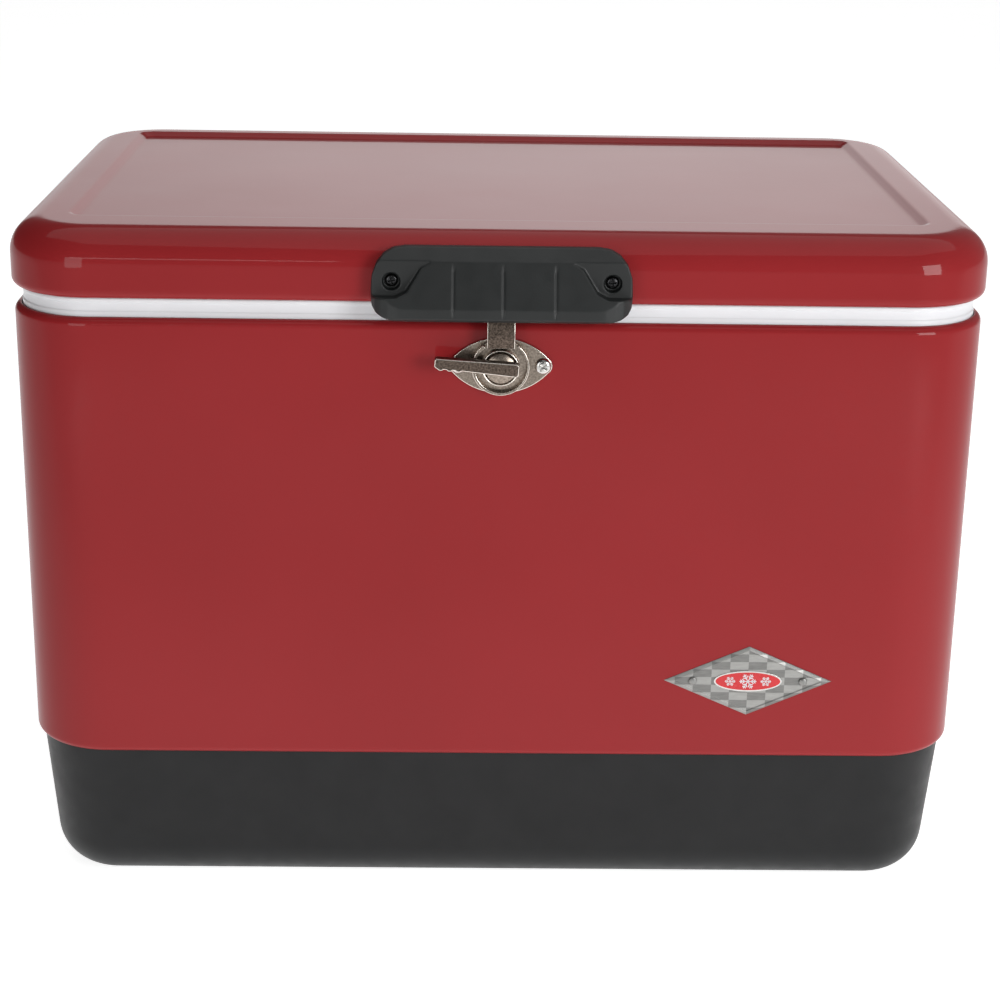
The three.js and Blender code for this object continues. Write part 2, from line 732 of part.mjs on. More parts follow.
// Everything that turns with the lever.
function latchTurningGroup() {
  const group = station("front", 0, FRONT, LATCH.height);
  const dish = turned([[0, 2.1], [LATCH.cam, 2.1], [LATCH.cam, 3.6], [0, 3.6]], 24);
  const rim = LATCH.hub;
  const hub = turned([[0, 3], [rim, 3], [rim, 8], [rim - 0.8, 8.6], [rim - 1.7, 7.2], [0, 7.2]], 20);
  const wall = plate(camWallShape(), 3, 7);
  const bore = post(0, 0, 0, 12, 3.4, 16);
  group.add(mesh("latch_cam", cut(join(dish, hub, wall), bore), nickelSteel));
  const pivot = turned([[0, -3.4], [5.4, -3.4], [5.4, -1.6], [3, -1.6], [3, 7.2], [0, 7.2]], 12);
  group.add(mesh("latch_pivot", pivot, nickelSteel));
  const tilt = THREE.MathUtils.degToRad(-4.6);
  const lever = mesh("latch_lever", leverGeometry(), nickelSteel);
  lever.rotation.z = tilt;
  group.add(lever);
  return group;
}

// A bar on a round foot, with three finger scallops along its lower edge near the tip.
function leverGeometry() {
  const foot = turned([[0, 7.5], [9.4, 7.5], [9.4, 9.7], [0, 9.7]], 18);
  const rise = 1.2;
  const outline = new THREE.Shape();
  outline.moveTo(9.8, rise - 4.1);
  outline.lineTo(11, rise - 3);
  outline.lineTo(11, rise + 3);
  outline.lineTo(9.8, rise + 4.1);
  outline.lineTo(-39.5, rise + 3.3);
  outline.lineTo(-40.5, rise + 2.3);
  outline.lineTo(-40.5, rise - 2.3);
  outline.lineTo(-39.5, rise - 3.3);
  const bar = plate(outline, 9.4, 16);
  const scallops = [-36.5, -31, -25.5].map((x) => post(x, rise - 1.4, 9.6, 16.5, 2.6));
  return join(foot, bar, ...scallops);
}

// ---- The badge ----------------------------------------------------------------------------------

function badgeGroup() {
  const group = station("front", BADGE.x, FRONT, BADGE.height);
  const w = BADGE.width / 2;
  const h = BADGE.rise / 2;
  const tips = [[w, 0], [0, h], [-w, 0], [0, -h]];
  const diamond = new THREE.Shape(tips.map(([x, y]) => new THREE.Vector2(x, y)));
  const holes = [-1, 1].map((s) => post(s * BADGE.rivetSpan, 0, -1, 5, SCREW.hole));
  group.add(mesh("badge_plate", cut(plate(diamond, GAP, GAP + BADGE.thick), ...holes), badgeSteel));
  for (const s of [-1, 1]) {
    const name = s < 0 ? "badge_rivet_left" : "badge_rivet_right";
    group.add(at(panScrew(name, 2.6, SHANK.badge), s * BADGE.rivetSpan, 0, 2 * GAP + BADGE.thick));
  }
  return group;
}

// ---- The hinges ---------------------------------------------------------------------------------

// A hinge stands on the belt's back face with its origin at the pin's height. Its middle knuckle turns.
const KNUCKLE = { middle: 8, gap: 0.4 };

function barrel(x0, x1) {
  const axis = new THREE.Vector3(x0, 0, HINGE.out);
  return rod(axis, new THREE.Vector3(1, 0, 0), HINGE.barrel, x1 - x0, 12);
}

function pinBore() {
  const axis = new THREE.Vector3(-HINGE.width, 0, HINGE.out);
  return rod(axis, new THREE.Vector3(1, 0, 0), HINGE.pin + 0.4, 2 * HINGE.width, 10);
}

function leafHoles(height, z0) {
  return [-1, 1].map((t) => post(t * HINGE.screwSpan, height, z0, z0 + 8, SCREW.hole));
}

function bodyLeafGeometry() {
  const half = HINGE.width / 2;
  const inner = KNUCKLE.middle + KNUCKLE.gap;
  const leaf = box(-half, half, -35, -5, GAP, GAP + 1.5);
  const ears = [-1, 1].flatMap((s) => {
    const x0 = s > 0 ? inner : -half;
    const x1 = s > 0 ? half : -inner;
    return [box(x0, x1, -6, 1, GAP, GAP + 1.5), barrel(x0, x1)];
  });
  return cut(join(leaf, ...ears), pinBore(), ...leafHoles(-21, -2));
}

function lidLeafGeometry() {
  const half = HINGE.width / 2;
  const face = LID.depth / 2 - BELT.depth / 2 + GAP;
  const leaf = box(-half, half, 5, 26, face, face + 1.5);
  const tab = box(-KNUCKLE.middle, KNUCKLE.middle, 0, 6, face, face + 1.5);
  return cut(join(leaf, tab, barrel(-KNUCKLE.middle, KNUCKLE.middle)), pinBore(), ...leafHoles(18, -2));
}

function hingeGroups(s) {
  const word = s < 0 ? "left" : "right";
  const fixed = station("back", s * HINGE.x, BACK, HINGE.height);
  fixed.add(mesh(`hinge_body_leaf_${word}`, bodyLeafGeometry(), nickelSteel));
  const pinStart = new THREE.Vector3(-HINGE.width / 2 - 1, 0, HINGE.out);
  const pin = rod(pinStart, new THREE.Vector3(1, 0, 0), HINGE.pin, HINGE.width + 2, 10);
  fixed.add(mesh(`hinge_pin_${word}`, pin, nickelSteel));
  const moving = station("back", s * HINGE.x, BACK, HINGE.height);
  moving.add(mesh(`hinge_lid_leaf_${word}`, lidLeafGeometry(), nickelSteel));
  for (const t of [-1, 1]) {
    // The back faces the other way, so a positive X in this group lies to the chest's left.
    const place = t < 0 ? "b" : "a";
    const bodyScrew = panScrew(`hinge_body_screw_${word}_${place}`, 3.6, SHANK.hinge);
    fixed.add(at(bodyScrew, t * HINGE.screwSpan, -21, 1.8 + GAP));
    const lidScrew = panScrew(`hinge_lid_screw_${word}_${place}`, 3.6, SHANK.hinge);
    moving.add(at(lidScrew, t * HINGE.screwSpan, 18, 3.8 + GAP));
  }
  return [fixed, moving];
}

// ---- The end handles ----------------------------------------------------------------------------

function bracketGeometry() {
  const foot = plate(roundedRectangle(24, 46, 6), GAP, GAP + 1.5, 3);
  const web = box(-6, 6, -HANDLE.eye + 0.5, HANDLE.eye - 0.5, 1, HANDLE.out);
  const along = new THREE.Vector3(1, 0, 0);
  const eye = rod(new THREE.Vector3(-6, 0, HANDLE.out), along, HANDLE.eye, 12, 14);
  const bore = rod(new THREE.Vector3(-10, 0, HANDLE.out), along, HANDLE.rod + 0.5, 20, 12);
  const holes = [-15, 15].map((y) => post(0, y, -2, 6, SCREW.hole));
  return cut(join(foot, web, eye), bore, ...holes);
}

// The points of an arc that rounds the corner of a path, from one straight run to the next.
function bend(corner, from, to, radius) {
  const into = corner.clone().sub(from).normalize();
  const away = to.clone().sub(corner).normalize();
  const curve = new THREE.QuadraticBezierCurve3(
    corner.clone().addScaledVector(into, -radius),
    corner,
    corner.clone().addScaledVector(away, radius),
  );
  return curve.getPoints(3);
}

// A round rod that follows a flat path of points, mitred at each.
function bentRod(points, radius, sides) {
  const up = new THREE.Vector3(0, 0, 1);
  const rings = points.map((point, k) => {
    const before = points[Math.max(k - 1, 0)];
    const after = points[Math.min(k + 1, points.length - 1)];
    const into = point.clone().sub(before).normalize();
    const away = after.clone().sub(point).normalize();
    const across = new THREE.Vector3().crossVectors(into.clone().add(away), up).normalize();
    const mitre = k === 0 || k === points.length - 1 ? 1 : 1 / Math.sqrt((1 + into.dot(away)) / 2);
    const section = [];
    for (let step = 0; step < sides; step++) {
      const a = (2 * Math.PI * step) / sides;
      const offset = across.clone().multiplyScalar(radius * mitre * Math.cos(a));
      section.push(point.clone().add(offset).addScaledVector(up, radius * Math.sin(a)));
    }
    return section.reverse();
  });
  return loft(rings);
}

// A swinging wire: its ends turn in the brackets, two arms hang from them, and a run carries the grip.
function bailGeometry() {
  const tip = HANDLE.bracket + 9;
  const corners = [
    [-tip, 0],
    [-HANDLE.arm, 0],
    [-HANDLE.arm, -HANDLE.drop],
    [HANDLE.arm, -HANDLE.drop],
    [HANDLE.arm, 0],
    [tip, 0],
  ].map(([x, y]) => new THREE.Vector3(x, y, HANDLE.out));
  const path = [corners[0]];
  for (let k = 1; k < corners.length - 1; k++) {
    const radius = k === 1 || k === 4 ? 5 : 11;
    path.push(...bend(corners[k], corners[k - 1], corners[k + 1], radius));
  }
  path.push(corners[corners.length - 1]);
  return bentRod(path, HANDLE.rod, 10);
}

function handleGripGeometry() {
  const half = SLEEVE.length / 2;
  const bore = HANDLE.rod + GAP;
  const profile = [[bore, -half], [SLEEVE.radius - 3, -half], [SLEEVE.radius, -half + 4]];
  const waves = 6;
  for (let k = 1; k < waves; k++) {
    const z = -half + 6 + ((2 * half - 12) * k) / waves;
    profile.push([SLEEVE.radius - (k % 2 ? 1.2 : 0), z]);
  }
  profile.push([SLEEVE.radius, half - 4], [SLEEVE.radius - 3, half], [bore, half], [bore, -half]);
  return turned(profile, 14).rotateY(Math.PI / 2).translate(0, -HANDLE.drop, HANDLE.out);
}

function handleGroups(s) {
  const word = s < 0 ? "left" : "right";
  const side = word;
  const fixed = station(side, s * RIGHT, 0, HANDLE.height);
  for (const t of [-1, 1]) {
    // Along the right end X runs to the back, and along the left end to the front.
    const place = t * s > 0 ? "back" : "front";
    const bracket = mesh(`handle_bracket_${word}_${place}`, bracketGeometry(), nickelSteel);
    fixed.add(at(bracket, t * HANDLE.bracket, 0, 0));
    for (const [level, y] of [["upper", 15], ["lower", -15]]) {
      const screw = panScrew(`handle_screw_${word}_${place}_${level}`, 4, SHANK.handle);
      fixed.add(at(screw, t * HANDLE.bracket, y, 1.8 + GAP));
    }
  }
  const moving = station(side, s * RIGHT, 0, HANDLE.height);
  moving.add(mesh(`handle_bail_${word}`, bailGeometry(), nickelSteel));
  moving.add(mesh(`handle_grip_${word}`, handleGripGeometry(), blackPlastic));
  return [fixed, moving];
}

// ---- The chest ----------------------------------------------------------------------------------

const body = new THREE.Group();
body.add(mesh("base_tray", baseGeometry(), blackPlastic));
body.add(mesh("body_belt", beltGeometry(), redEnamel));
body.add(mesh("tub_liner", tubGeometry(), whitePlastic));
body.add(mesh("body_foam", bodyFoamGeometry(), foam));
body.add(drainGroup(), drainCapGroup(), badgeGroup(), latchFixedGroup(), latchTurningGroup());
for (const s of [-1, 1]) body.add(...handleGroups(s));

const lid = new THREE.Group();
lid.add(mesh("lid_skin", lidSkinGeometry(), redEnamel));
lid.add(mesh("lid_liner", lidLinerGeometry(), whitePlastic));
lid.add(mesh("lid_foam", lidFoamGeometry(), foam));
lid.add(mesh("lid_gasket", gasketGeometry(), rubber));
lid.add(gripGroup(), strikeGroup());

const chest = new THREE.Group();
chest.add(body, lid);
for (const s of [-1, 1]) chest.add(...hingeGroups(s));

export default chest;
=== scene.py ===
"""A steel-belted picnic cooler chest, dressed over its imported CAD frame, in a white studio."""
import json
import math
import random

import bmesh
import bpy
from mathutils import Matrix, Vector


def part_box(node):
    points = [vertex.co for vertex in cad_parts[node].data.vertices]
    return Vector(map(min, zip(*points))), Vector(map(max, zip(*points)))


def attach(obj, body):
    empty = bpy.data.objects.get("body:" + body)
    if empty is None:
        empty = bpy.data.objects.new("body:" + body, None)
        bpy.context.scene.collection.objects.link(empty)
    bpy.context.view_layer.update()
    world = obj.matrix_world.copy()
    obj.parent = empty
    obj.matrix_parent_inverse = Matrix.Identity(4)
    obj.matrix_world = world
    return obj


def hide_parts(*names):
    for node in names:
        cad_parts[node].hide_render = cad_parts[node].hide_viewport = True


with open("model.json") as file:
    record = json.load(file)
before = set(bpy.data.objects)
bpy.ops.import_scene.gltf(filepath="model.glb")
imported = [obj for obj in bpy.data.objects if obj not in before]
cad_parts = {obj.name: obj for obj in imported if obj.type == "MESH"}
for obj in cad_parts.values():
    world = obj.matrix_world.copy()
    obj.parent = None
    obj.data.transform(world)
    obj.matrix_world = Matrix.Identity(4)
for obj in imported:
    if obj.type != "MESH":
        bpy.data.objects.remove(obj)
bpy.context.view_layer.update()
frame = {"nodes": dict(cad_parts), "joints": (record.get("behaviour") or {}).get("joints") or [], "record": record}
random.seed(11)

# CORNER_STEPS faces make a quarter turn of an outline, and SIDE_STOPS are shares of its side's length.
MM = 0.001
CORNER_STEPS = 18
SIDE_STOPS = (0.012, 0.2, 0.4, 0.6, 0.8, 0.988)
FRONT, BACK = Vector((0, -1, 0)), Vector((0, 1, 0))
LEFT, RIGHT = Vector((-1, 0, 0)), Vector((1, 0, 0))


# ---- Materials ------------------------------------------------------------------------------------


def new_material(name, **values):
    """A material and its tree and shader. Keyword names are socket names with _ for a space."""
    made = bpy.data.materials.new(name)
    made.use_nodes = True
    surface = made.node_tree.nodes["Principled BSDF"]
    for socket, value in values.items():
        surface.inputs[socket.replace("_", " ")].default_value = value
    return made, made.node_tree, surface


def noise(tree, scale, detail=4.0, stretch=(1, 1, 1)):
    """The value of a noise over the object, with `scale` features to the metre."""
    place = tree.nodes.new("ShaderNodeTexCoord")
    mapping = tree.nodes.new("ShaderNodeMapping")
    mapping.inputs["Scale"].default_value = stretch
    texture = tree.nodes.new("ShaderNodeTexNoise")
    texture.inputs["Scale"].default_value = scale
    texture.inputs["Detail"].default_value = detail
    tree.links.new(place.outputs["Object"], mapping.inputs["Vector"])
    tree.links.new(mapping.outputs["Vector"], texture.inputs["Vector"])
    return texture.outputs["Fac"]


def colours(tree, value, low, high, start=0.3, end=0.7):
    """A colour that runs from `low` to `high` as the value does."""
    ramp = tree.nodes.new("ShaderNodeValToRGB")
    ramp.color_ramp.elements[0].position = start
    ramp.color_ramp.elements[0].color = (*low, 1)
    ramp.color_ramp.elements[1].position = end
    ramp.color_ramp.elements[1].color = (*high, 1)
    tree.links.new(value, ramp.inputs["Fac"])
    return ramp.outputs["Color"]


def between(tree, value, low, high):
    """A number that runs from `low` to `high` as the value does."""
    spread = tree.nodes.new("ShaderNodeMapRange")
    spread.inputs["From Min"].default_value = 0.3
    spread.inputs["From Max"].default_value = 0.7
    spread.inputs["To Min"].default_value = low
    spread.inputs["To Max"].default_value = high
    tree.links.new(value, spread.inputs["Value"])
    return spread.outputs["Result"]


def smooth_step(tree, value, low, high, to_low, to_high):
    """A number that eases from `to_low` to `to_high` as the value goes from `low` to `high`."""
    node = tree.nodes.new("ShaderNodeMapRange")
    node.interpolation_type = "SMOOTHSTEP"
    for socket, limit in zip(("From Min", "From Max", "To Min", "To Max"), (low, high, to_low, to_high)):
        node.inputs[socket].default_value = limit
    tree.links.new(value, node.inputs["Value"])
    return node.outputs["Result"]


def arithmetic(tree, operation, first, second=None):
    """The result of a sum on one or two values, each an output or a number."""
    node = tree.nodes.new("ShaderNodeMath")
    node.operation = operation
    for socket, value in zip(node.inputs, (first, second)):
        if isinstance(value, float):
            socket.default_value = value
        elif value is not None:
            tree.links.new(value, socket)
    return node.outputs["Value"]


def bump(tree, height, distance, before=None):
    """A bump of the given height in metres, on top of an earlier one."""
    node = tree.nodes.new("ShaderNodeBump")
    node.inputs["Distance"].default_value = distance
    node.inputs["Strength"].default_value = 1.0
    tree.links.new(height, node.inputs["Height"])
    if before is not None:
        tree.links.new(before, node.inputs["Normal"])
    return node.outputs["Normal"]


def join_to(tree, surface, **outputs):
    """Links outputs to a shader's sockets, which are named as in new_material."""
    for socket, output in outputs.items():
        tree.links.new(output, surface.inputs[socket.replace("_", " ")])


def enamel():
    """Baked red enamel on sheet steel: a clear gloss over orange peel and a faint panel wave."""
    made, tree, surface = new_material(
        "red_enamel", Coat_Weight=0.35, Coat_Roughness=0.03, Coat_IOR=1.5, Specular_IOR_Level=0.03
    )
    tone = colours(tree, noise(tree, 5.0), (0.27, 0.017, 0.019), (0.295, 0.019, 0.022))
    gloss = between(tree, noise(tree, 12.0), 0.33, 0.35)
    wave = bump(tree, noise(tree, 3.0, detail=0.0), 0.03 * MM)
    peel = bump(tree, noise(tree, 420.0, detail=2.0), 0.01 * MM, wave)
    join_to(tree, surface, Base_Color=tone, Roughness=gloss, Normal=peel, Coat_Normal=wave)
    return made


def moulded(name, low, high, rough, grain, depth, gloss=0.5):
    """Moulded plastic with a fine grain and a slightly uneven sheen."""
    made, tree, surface = new_material(name, IOR=1.47, Specular_IOR_Level=gloss)
    tone = colours(tree, noise(tree, 35.0), low, high)
    sheen = between(tree, noise(tree, 90.0), *rough)
    normal = bump(tree, noise(tree, grain, detail=3.0), depth)
    join_to(tree, surface, Base_Color=tone, Roughness=sheen, Normal=normal)
    return made


def nickel(name, low, high, rough, pits, mottle_scale=900.0):
    """Plated pressed steel with a soft mottle and small pits."""
    made, tree, surface = new_material(name, Metallic=1.0)
    mottle = noise(tree, mottle_scale, detail=5.0)
    tone = colours(tree, mottle, low, high, 0.34, 0.66)
    gloss = between(tree, noise(tree, 240.0), *rough)
    normal = bump(tree, noise(tree, 900.0, detail=2.0), pits)
    join_to(tree, surface, Base_Color=tone, Roughness=gloss, Normal=normal)
    return made


# The badge's checks, across and upright.
CHECK_WIDTH, CHECK_RISE = 11.8 * MM, 5.3 * MM


def badge_metal():
    """Stamped sheet with a checker of light and dark brushed fields."""
    made, tree, surface = new_material("badge_checker", Metallic=0.75)
    place = tree.nodes.new("ShaderNodeTexCoord")
    mapping = tree.nodes.new("ShaderNodeMapping")
    mapping.inputs["Scale"].default_value = (1 / CHECK_WIDTH, 0, 1 / CHECK_RISE)
    mapping.inputs["Location"].default_value = (0, 0.5, 0.5)
    checker = tree.nodes.new("ShaderNodeTexChecker")
    checker.inputs["Scale"].default_value = 1.0
    tree.links.new(place.outputs["Object"], mapping.inputs["Vector"])
    tree.links.new(mapping.outputs["Vector"], checker.inputs["Vector"])
    field = checker.outputs["Fac"]
    fine = noise(tree, 150.0, stretch=(1, 1, 5))
    blend = tree.nodes.new("ShaderNodeMix")
    blend.inputs["Factor"].default_value = 0.45
    tree.links.new(field, blend.inputs["A"])
    tree.links.new(fine, blend.inputs["B"])
    mixed = blend.outputs["Result"]
    tone = colours(tree, mixed, (0.19, 0.19, 0.183), (0.40, 0.40, 0.385), 0.1, 0.9)
    step = bump(tree, field, 0.12 * MM)
    brushed = bump(tree, fine, 0.03 * MM, step)
    join_to(tree, surface, Base_Color=tone, Roughness=between(tree, mixed, 0.50, 0.44), Normal=brushed)
    return made


RED = enamel()
WHITE = moulded("white_plastic", (0.79, 0.81, 0.835), (0.82, 0.84, 0.865), (0.30, 0.38), 700.0, 0.01 * MM)
BLACK = moulded(
    "black_plastic", (0.005, 0.0055, 0.006), (0.008, 0.0085, 0.009), (0.40, 0.50), 1100.0, 0.03 * MM, 0.32
)
GRIP_BLACK = moulded(
    "grip_plastic", (0.009, 0.0105, 0.0105), (0.013, 0.015, 0.015), (0.42, 0.54), 900.0, 0.05 * MM
)
BLACK_STEEL = nickel("black_steel", (0.03, 0.03, 0.032), (0.06, 0.06, 0.062), (0.22, 0.34), 0.01 * MM)
NICKEL = nickel("aged_nickel", (0.20, 0.165, 0.135), (0.40, 0.34, 0.285), (0.24, 0.34), 0.012 * MM)
# A darker copy of the aged nickel for the lever and the strap: painted shade and painted dark reflection.
SHADED_NICKEL = nickel("shaded_nickel", (0.05, 0.038, 0.031), (0.20, 0.155, 0.125), (0.34, 0.46), 0.02 * MM)
# Bright nickel for the rounded latch edges and the hub's rim: partly wear, partly a painted highlight.
WORN_AND_HIGHLIT = nickel("worn_and_highlit_edge", (0.84, 0.78, 0.70), (0.95, 0.90, 0.83), (0.12, 0.2), 0.005 * MM)
BRIGHT = nickel("bright_plate", (0.60, 0.59, 0.57), (0.70, 0.69, 0.67), (0.12, 0.2), 0.01 * MM, 300.0)
RIVET_STEEL = nickel("rivet_steel", (0.22, 0.22, 0.21), (0.34, 0.34, 0.33), (0.3, 0.4), 0.01 * MM)
BADGE = badge_metal()
BADGE_RED = moulded("badge_enamel", (0.55, 0.025, 0.03), (0.62, 0.03, 0.035), (0.22, 0.3), 300.0, 0.01 * MM)
FOAM = moulded("foam", (0.62, 0.50, 0.22), (0.74, 0.62, 0.32), (0.85, 0.95), 250.0, 0.4 * MM)
RUBBER = moulded("rubber", (0.018, 0.018, 0.018), (0.03, 0.03, 0.03), (0.6, 0.75), 800.0, 0.03 * MM)


# ---- Mesh helpers ---------------------------------------------------------------------------------


def add_object(name, data):
    """A new object in the scene."""
    made = bpy.data.objects.new(name, data)
    bpy.context.scene.collection.objects.link(made)
    return made


def dress(piece, body, look, slot, *nodes, edges=None):
    """Gives a piece its material and its body, and hides the CAD nodes that it stands for. The slot is not used.
    """
    piece.data.materials.clear()
    piece.data.materials.append(look)
    if edges:
        piece.data.materials.append(edges)
    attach(piece, body)
    if nodes:
        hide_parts(*nodes)
    return piece


def mesh_piece(name, points, faces):
    """A smooth-shaded mesh from points and faces."""
    data = bpy.data.meshes.new(name)
    data.from_pydata([tuple(p) for p in points], [], faces)
    data.validate()
    data.shade_smooth()
    return add_object(name, data)


def soften(piece, width, segments=3, angle=35, worn_and_highlit=False):
    """Rounds a piece's edges, in its second material if asked, which is a painted highlight and partly wear, and
    shades it by its larger faces.
    """
    bevel = piece.modifiers.new("edges", "BEVEL")
    bevel.material = 1 if worn_and_highlit else -1
    bevel.width = width
    bevel.segments = segments
    bevel.limit_method = "ANGLE"
    bevel.angle_limit = math.radians(angle)
    weighted = piece.modifiers.new("normals", "WEIGHTED_NORMAL")
    weighted.keep_sharp = True
    return piece


def applied(piece):
    """The piece with its modifiers made real."""
    graph = bpy.context.evaluated_depsgraph_get()
    graph.update()
    data = bpy.data.meshes.new_from_object(piece.evaluated_get(graph))
    piece.modifiers.clear()
    piece.data = data
    return piece


class Plan:
    """A rounded rectangle seen from above, that rings are drawn inside."""

    def __init__(self, low, high, corner):
        self.low, self.high, self.corner = low, high, corner

    def ring(self, inset, z):
        """Points anticlockwise round the outline, with a few along each side."""
        radius = self.corner - inset
        arcs = []
        for quarter, (sx, sy) in enumerate(((1, 1), (-1, 1), (-1, -1), (1, -1))):
            x = self.high.x - self.corner if sx > 0 else self.low.x + self.corner
            y = self.high.y - self.corner if sy > 0 else self.low.y + self.corner
            arc = []
            for step in range(CORNER_STEPS + 1):
                angle = (quarter + step / CORNER_STEPS) * math.pi / 2
                arc.append(Vector((x + radius * math.cos(angle), y + radius * math.sin(angle), z)))
            arcs.append(arc)
        points = []
        for arc, after in zip(arcs, arcs[1:] + arcs[:1]):
            points += arc
            points += [arc[-1].lerp(after[0], stop) for stop in SIDE_STOPS]
        return points

    def roll(self, inset, z, radius, start, end, steps):
        """Rings round a quarter turn: 0 degrees is the upright face, 90 the top, -90 the underside."""
        rings = []
        for step in range(steps + 1):
            angle = math.radians(start + (end - start) * step / steps)
            rings.append(self.ring(inset + radius * (1 - math.cos(angle)), z + radius * math.sin(angle)))
        return rings


def loft(name, rings, cap_first=False, cap_last=False):
    """A smooth skin over rings of equal length."""
    count = len(rings[0])
    faces = []
    for span in range(len(rings) - 1):
        a, b = span * count, (span + 1) * count
        for k in range(count):
            after = (k + 1) % count
            faces.append((a + k, a + after, b + after, b + k))
    if cap_first:
        faces.append(tuple(reversed(range(count))))
    if cap_last:
        last = (len(rings) - 1) * count
        faces.append(tuple(range(last, last + count)))
    return mesh_piece(name, [p for ring in rings for p in ring], faces)


def frame_at(origin, outward):
    """A matrix that stands on a face: Z points out of it, and Y is up."""
    up = Vector((0, 0, 1))
    along = up.cross(outward)
    return Matrix.Translation(origin) @ Matrix((along, up, outward)).transposed().to_4x4()


def turned(name, profile, steps, place, ribs=None):
    """A lathe shape about Z from (radius, z) pairs. ribs is (count, height, first z, last z)."""
    rings = []
    for radius, z in profile:
        ring = []
        for step in range(steps):
            angle = 2 * math.pi * step / steps
            r = radius
            if ribs and ribs[2] <= z <= ribs[3]:
                r += ribs[1] * max(0.0, math.cos(ribs[0] * angle)) ** 3
            ring.append(place @ Vector((r * math.cos(angle), r * math.sin(angle), z)))
        rings.append(ring)
    return loft(name, rings)


def rounded(profile, radius, steps=4):
    """A profile with each inner corner rounded to the radius, or to what the sides allow."""
    points = [profile[0]]
    for before, corner, after in zip(profile, profile[1:], profile[2:]):
        b, c, a = Vector(before), Vector(corner), Vector(after)
        reach = min(radius, (b - c).length * 0.45, (a - c).length * 0.45)
        start = c + (b - c).normalized() * reach
        end = c + (a - c).normalized() * reach
        for step in range(steps + 1):
            t = step / steps
            points.append(tuple(start * (1 - t) ** 2 + c * 2 * t * (1 - t) + end * t ** 2))
    return points + [profile[-1]]


def plate_piece(name, outline, depth, place):
    """A flat plate from a 2D outline, `depth` thick in Z of its place."""
    count = len(outline)
    points = [place @ Vector((x, y, z)) for z in (0, depth) for x, y in outline]
    faces = [tuple(reversed(range(count))), tuple(range(count, 2 * count))]
    for k in range(count):
        after = (k + 1) % count
        faces.append((k, after, count + after, count + k))
    return mesh_piece(name, points, faces)


def swept(name, path, radius, sides=20):
    """A round rod along a path of points, closed at its ends."""
    rings = []
    up = None
    for k, point in enumerate(path):
        ahead = (path[min(k + 1, len(path) - 1)] - path[max(k - 1, 0)]).normalized()
        if up is None:
            up = ahead.orthogonal().normalized()
        up = (up - ahead * up.dot(ahead)).normalized()
        across = ahead.cross(up)
        angles = [2 * math.pi * s / sides for s in range(sides)]
        rings.append([point + (up * math.cos(a) + across * math.sin(a)) * radius for a in angles])
    return loft(name, rings, cap_first=True, cap_last=True)


def filleted(corners, radii, steps=8):
    """A path through corners, each rounded to its own reach."""
    path = [corners[0]]
    for before, corner, after, reach in zip(corners, corners[1:], corners[2:], radii):
        start = corner + (before - corner).normalized() * reach
        end = corner + (after - corner).normalized() * reach
        for step in range(steps + 1):
            t = step / steps
            path.append(start * (1 - t) ** 2 + corner * 2 * t * (1 - t) + end * t ** 2)
    return path + [corners[-1]]


def refined(node, name):
    """A copy of a CAD node's mesh with its flat faces made whole."""
    data = frame["nodes"][node].data.copy()
    work = bmesh.new()
    work.from_mesh(data)
    bmesh.ops.remove_doubles(work, verts=work.verts, dist=1e-6)
    bmesh.ops.dissolve_limit(work, angle_limit=math.radians(1), verts=work.verts, edges=work.edges)
    for face in work.faces:
        face.smooth = True
    work.to_mesh(data)
    work.free()
    return add_object(name, data)


def remeshed(piece, voxel, rounds):
    """The piece as one even skin whose edges are rounded like a moulding's."""
    remesh = piece.modifiers.new("skin", "REMESH")
    remesh.mode = "VOXEL"
    remesh.voxel_size = voxel
    relax = piece.modifiers.new("relax", "SMOOTH")
    relax.iterations = rounds
    applied(piece)
    piece.data.shade_smooth()
    return piece


def centre(node):
    """The middle of a CAD node's box."""
    low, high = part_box(node)
    return (low + high) / 2


# ---- Lid ------------------------------------------------------------------------------------------

LID_CORNER, LID_ROLL, LID_HEM = 54 * MM, 22 * MM, 5 * MM
# The sunk panel's distance from the lid's sides, front and back, and its corner.
PANEL_SIDE, PANEL_FRONT, PANEL_BACK, PANEL_CORNER = 37 * MM, 50 * MM, 32 * MM, 10 * MM
# The slope down to the panel, as (inset, drop) in mm.
PANEL_SLOPE = (
    (-2.0, 0.0), (-1.0, 0.06), (0.0, 0.3), (0.9, 0.85), (3.6, 2.5), (4.6, 2.85), (5.8, 3.0), (8.0, 3.0)
)
# The liner's groove for the gasket: its two sides, measured in from the lid's edge, and its depth.
GROOVE_OUTER, GROOVE_INNER, GROOVE_DEPTH = 9 * MM, 22 * MM, 2.8 * MM
# The gasket's section, as (inset, rise) in mm.
GASKET_SECTION = (
    (0.4, 3.8), (0.0, 3.2), (0.0, 1.2), (0.6, 0.3), (2.0, 0.0),
    (9.0, 0.0), (10.4, 0.3), (11.0, 1.2), (11.0, 3.2), (10.6, 3.8)
)
# The pull's creases: where they run, and how deep and wide they are.
CREASES, CREASE_DEPTH, CREASE_WIDTH = (-29 * MM, 1 * MM, 32.5 * MM), 0.8 * MM, 0.8 * MM


def lid_plan():
    """The lid's outline."""
    low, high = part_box("lid_skin")
    return Plan(low, high, LID_CORNER)


